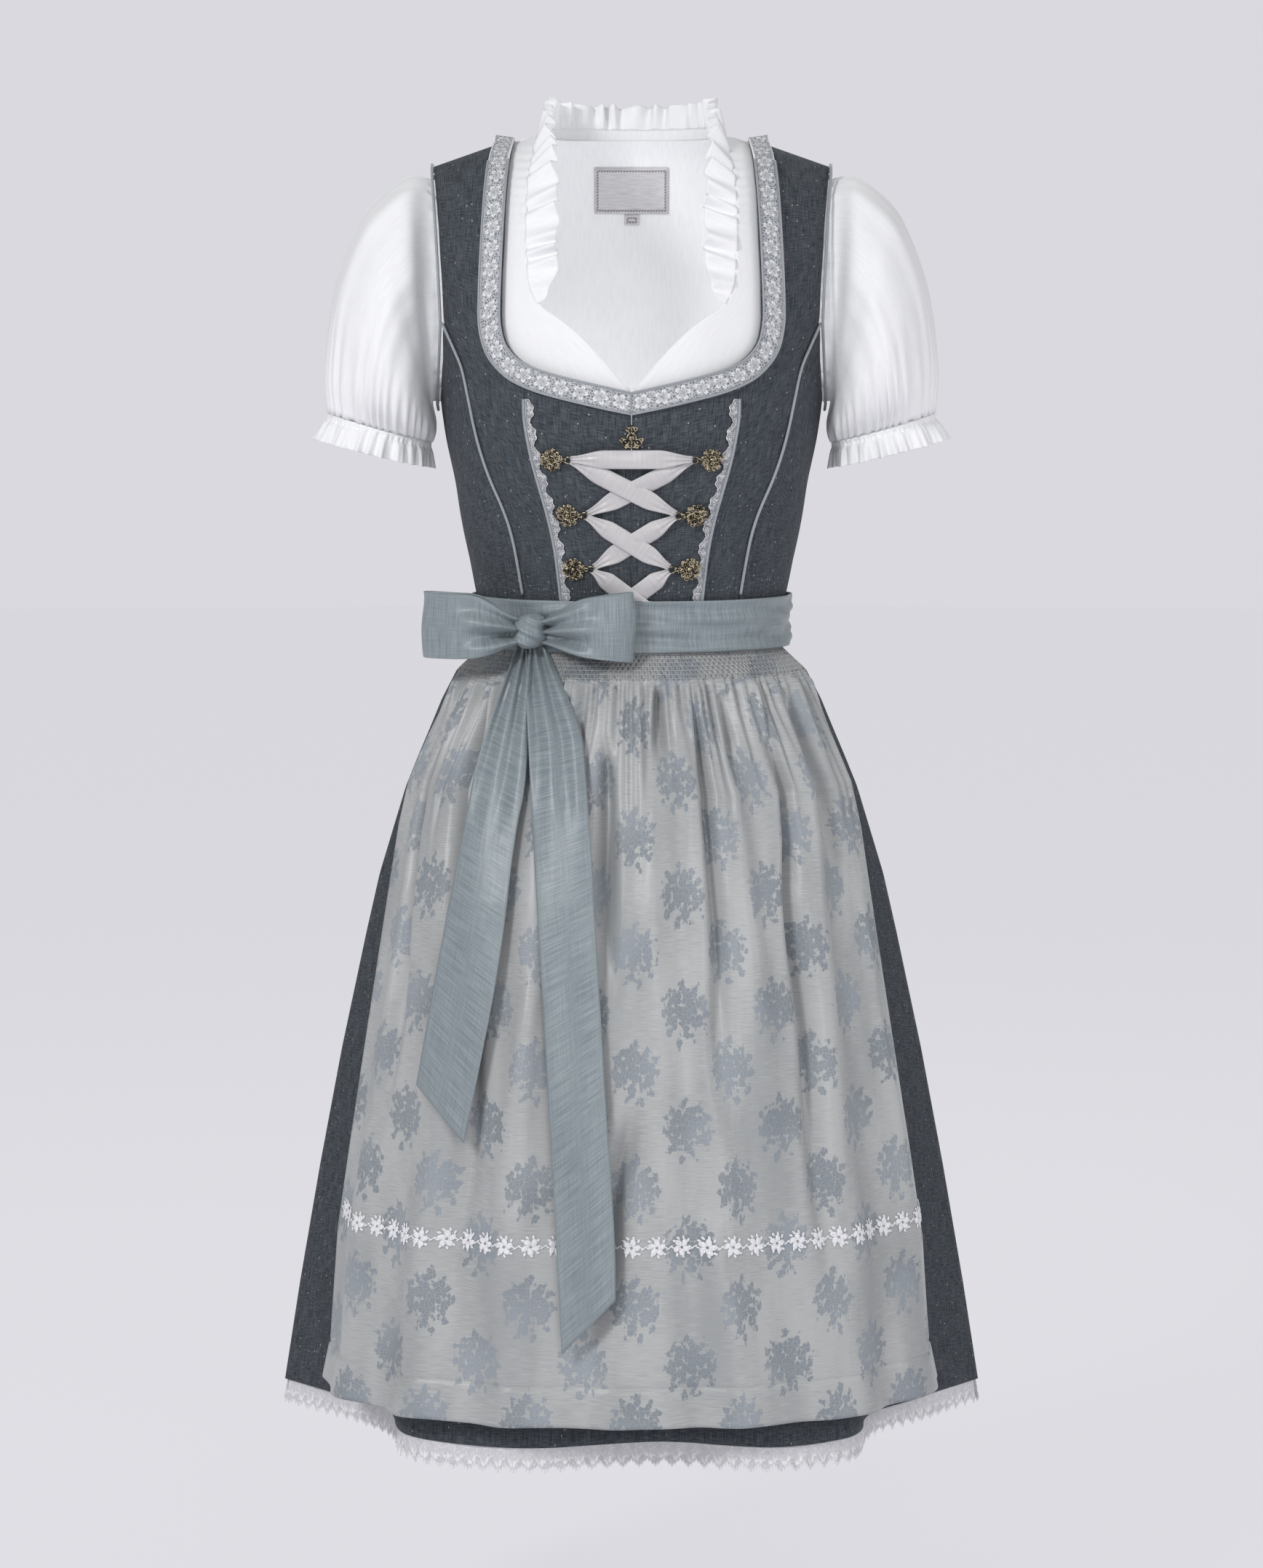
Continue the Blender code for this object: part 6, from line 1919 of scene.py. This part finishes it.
    def knot(self, w: Wardrobe) -> None:
        """The knot: cloth wrapped over itself with slanting folds."""
        x, z = self.knot_at
        half, depth, _ = TORSO.size(WAIST_SEAM)
        half, depth = half + self.out + 0.0012, depth + self.out + 0.0012
        on_sash = -depth * math.sqrt(1.0 - (x / half) ** 2)
        facing = np.array((x / half ** 2, on_sash / depth ** 2))
        facing /= np.linalg.norm(facing)
        reach = math.hypot(facing[0] * self.knot_half[0], facing[1] * self.knot_half[1])
        y = float(on_sash + reach / facing[1])
        turn = np.arange(96) * math.tau / 96
        rise = np.linspace(-math.pi / 2, math.pi / 2, 49)[:, None]
        slant = rise + 0.65 * np.sin(turn[None] + 0.3)
        fold = 0.115 * np.sin(6.2 * slant + 0.6) + 0.050 * np.sin(13.0 * slant + 1.0)
        grow = 1.0 + fold * np.cos(rise) ** 0.7
        grow = grow * (1.0 + 0.10 * np.cos(rise) ** 6 * np.cos(turn[None] * 2))
        ring = np.cos(rise) ** 0.8
        points = np.stack([x + self.knot_half[0] * ring * np.sin(turn)[None] * grow,
                           y - self.knot_half[1] * ring * np.cos(turn)[None] * grow,
                           z + self.knot_half[2] * np.sin(rise) * (1.0 + 0.0 * turn[None])
                           + 0.0018 * np.sin(turn)[None] * np.cos(rise)], axis=2)
        Cloth("bow_knot_cloth", points[1:-1], "sash_cloth", "sash_cloth", (0.075, 0.040), Held.FOLDED,
              ("bow_knot",), closed=True).make(w)

    def tail(self, side: Side, w: Wardrobe, apron: Apron, skirt: Skirt) -> None:
        """One hanging end of the tie, its lower end cut on a slant."""
        left, right = (np.asarray(edge, float) for edge in self.tails[side])
        left, right = softened(left[::-1], 2), softened(right[::-1], 2)
        grid = patch([left[0], right[0]], [left[-1], right[-1]], left, right, 27, 150)
        x, z = grid[..., 0], grid[..., 1]
        _, _, _, spread = apron.size(z, skirt)
        share = np.linspace(0.0, 1.0, 27)[None]
        down = smooth((-0.425 - z) / 0.10)
        seed = 81 + int(side.value)
        gather = 0.0042 * (1.0 - smooth((-0.41 - z) / 0.16)) ** 0.8 * np.cos(share * math.pi * 4.6 + 0.5)
        soft = 0.0021 * ripples(share * 1.2, z * 6.0, seed, 9, (0.3, 1.4)) * down
        out = self.tail_out + 1.4 * apron.fold_sway * spread + gather + soft + 0.0012 * down
        y = apron.depth(x, z, skirt, out)
        Cloth(f"tie_tail_cloth_{side.tag}", np.stack([x, y, z], axis=2), "sash_cloth", "sash_cloth",
              (self.width, 0.55 if side is Side.LEFT else 0.39), Held.HUNG, (f"tie_tail_{side.tag}",),
              turned=True).make(w)


@dataclass
class Studio:
    """The pale floor, the soft lights and the camera at the photograph's place."""

    camera_at: Place = (0.0, -3.7, -0.14)
    looks_at: Place = (0.0, 0.0, -0.532)
    lens: float = 102.05
    sensor: float = 36.0
    floor_at: float = -1.30
    floor_radius: float = 14.0
    backdrop: Colour = (0.700, 0.693, 0.737)
    floor_grey: Colour = (0.22, 0.22, 0.22)
    floor_glow: Colour = (0.600, 0.593, 0.635)
    fill: float = 0.41
    # Place, what it shines at, size and power
    lamps: dict[str, tuple[Place, Place, float, float]] = field(default_factory=lambda: {
        "key": ((-1.8, -2.7, 1.3), (0.0, 0.0, -0.5), 0.9, 52.0),
        "front": ((0.5, -3.3, 0.2), (0.0, 0.0, -0.5), 1.2, 17.0),
        "side": ((2.4, -1.4, 0.6), (0.0, 0.0, -0.5), 1.6, 12.0),
        "rim": ((0.4, 2.4, 1.6), (0.0, 0.0, -0.5), 1.6, 12.0),
        "inside": ((0.0, -0.06, -0.33), (0.0, 0.10, -0.06), 0.14, 0.31),
    })

    def turn(self, thing: bpy.types.Object, place: Place, aim: Place) -> None:
        """Turns a lamp or camera at a place towards another place."""
        thing.rotation_euler = (Vector(aim) - Vector(place)).to_track_quat("-Z", "Y").to_euler()

    def build(self) -> None:
        """Builds the studio."""
        bpy.ops.object.select_all(action="DESELECT")
        bpy.ops.mesh.primitive_circle_add(vertices=96, radius=self.floor_radius, fill_type="NGON",
                                          location=(0.0, 0.0, self.floor_at))
        floor = bpy.context.object
        floor.name = "studio_floor"
        w = Wire("studio_floor")
        w.colour(self.floor_grey)
        w.put(w.shader.inputs["Emission Color"], self.floor_glow)
        w.shine(Roughness=1.0, Specular_IOR_Level=0.0, Emission_Strength=1.0)
        floor.data.materials.append(w.material)

        world = bpy.data.worlds.new("studio")
        bpy.context.scene.world = world
        world.use_nodes = True
        tree = world.node_tree
        light = tree.nodes["Background"]
        light.inputs[0].default_value = (0.985, 0.985, 1.0, 1.0)
        light.inputs[1].default_value = self.fill
        seen = tree.nodes.new("ShaderNodeBackground")
        seen.inputs[0].default_value = (*self.backdrop, 1.0)
        path = tree.nodes.new("ShaderNodeLightPath")
        choose = tree.nodes.new("ShaderNodeMixShader")
        tree.links.new(path.outputs["Is Camera Ray"], choose.inputs[0])
        tree.links.new(light.outputs[0], choose.inputs[1])
        tree.links.new(seen.outputs[0], choose.inputs[2])
        tree.links.new(choose.outputs[0], tree.nodes["World Output"].inputs[0])

        for name, (place, aim, size, power) in self.lamps.items():
            bpy.ops.object.light_add(type="AREA", location=place)
            lamp = bpy.context.object
            lamp.name = f"studio_{name}"
            lamp.data.shape = "DISK"
            lamp.data.size = size
            lamp.data.energy = power
            self.turn(lamp, place, aim)

        bpy.ops.object.camera_add(location=self.camera_at)
        camera = bpy.context.object
        camera.name = "studio_camera"
        self.turn(camera, self.camera_at, self.looks_at)
        camera.data.lens = self.lens
        camera.data.sensor_width = self.sensor
        bpy.context.scene.camera = camera
        bpy.context.scene.view_settings.view_transform = "Standard"


def main() -> None:
    """Builds every sub-assembly in order, then the studio."""
    logging.basicConfig(level=logging.INFO, format="%(message)s")
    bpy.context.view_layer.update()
    wardrobe = Wardrobe()
    bodice, skirt, apron = Bodice(), Skirt(), Apron()
    bodice.build(wardrobe)
    Lacing().build(wardrobe)
    Blouse().build(wardrobe, bodice)
    skirt.build(wardrobe)
    apron.build(wardrobe, skirt)
    Tie().build(wardrobe, apron, skirt)
    Studio().build()


if __name__ == "__main__":
    main()
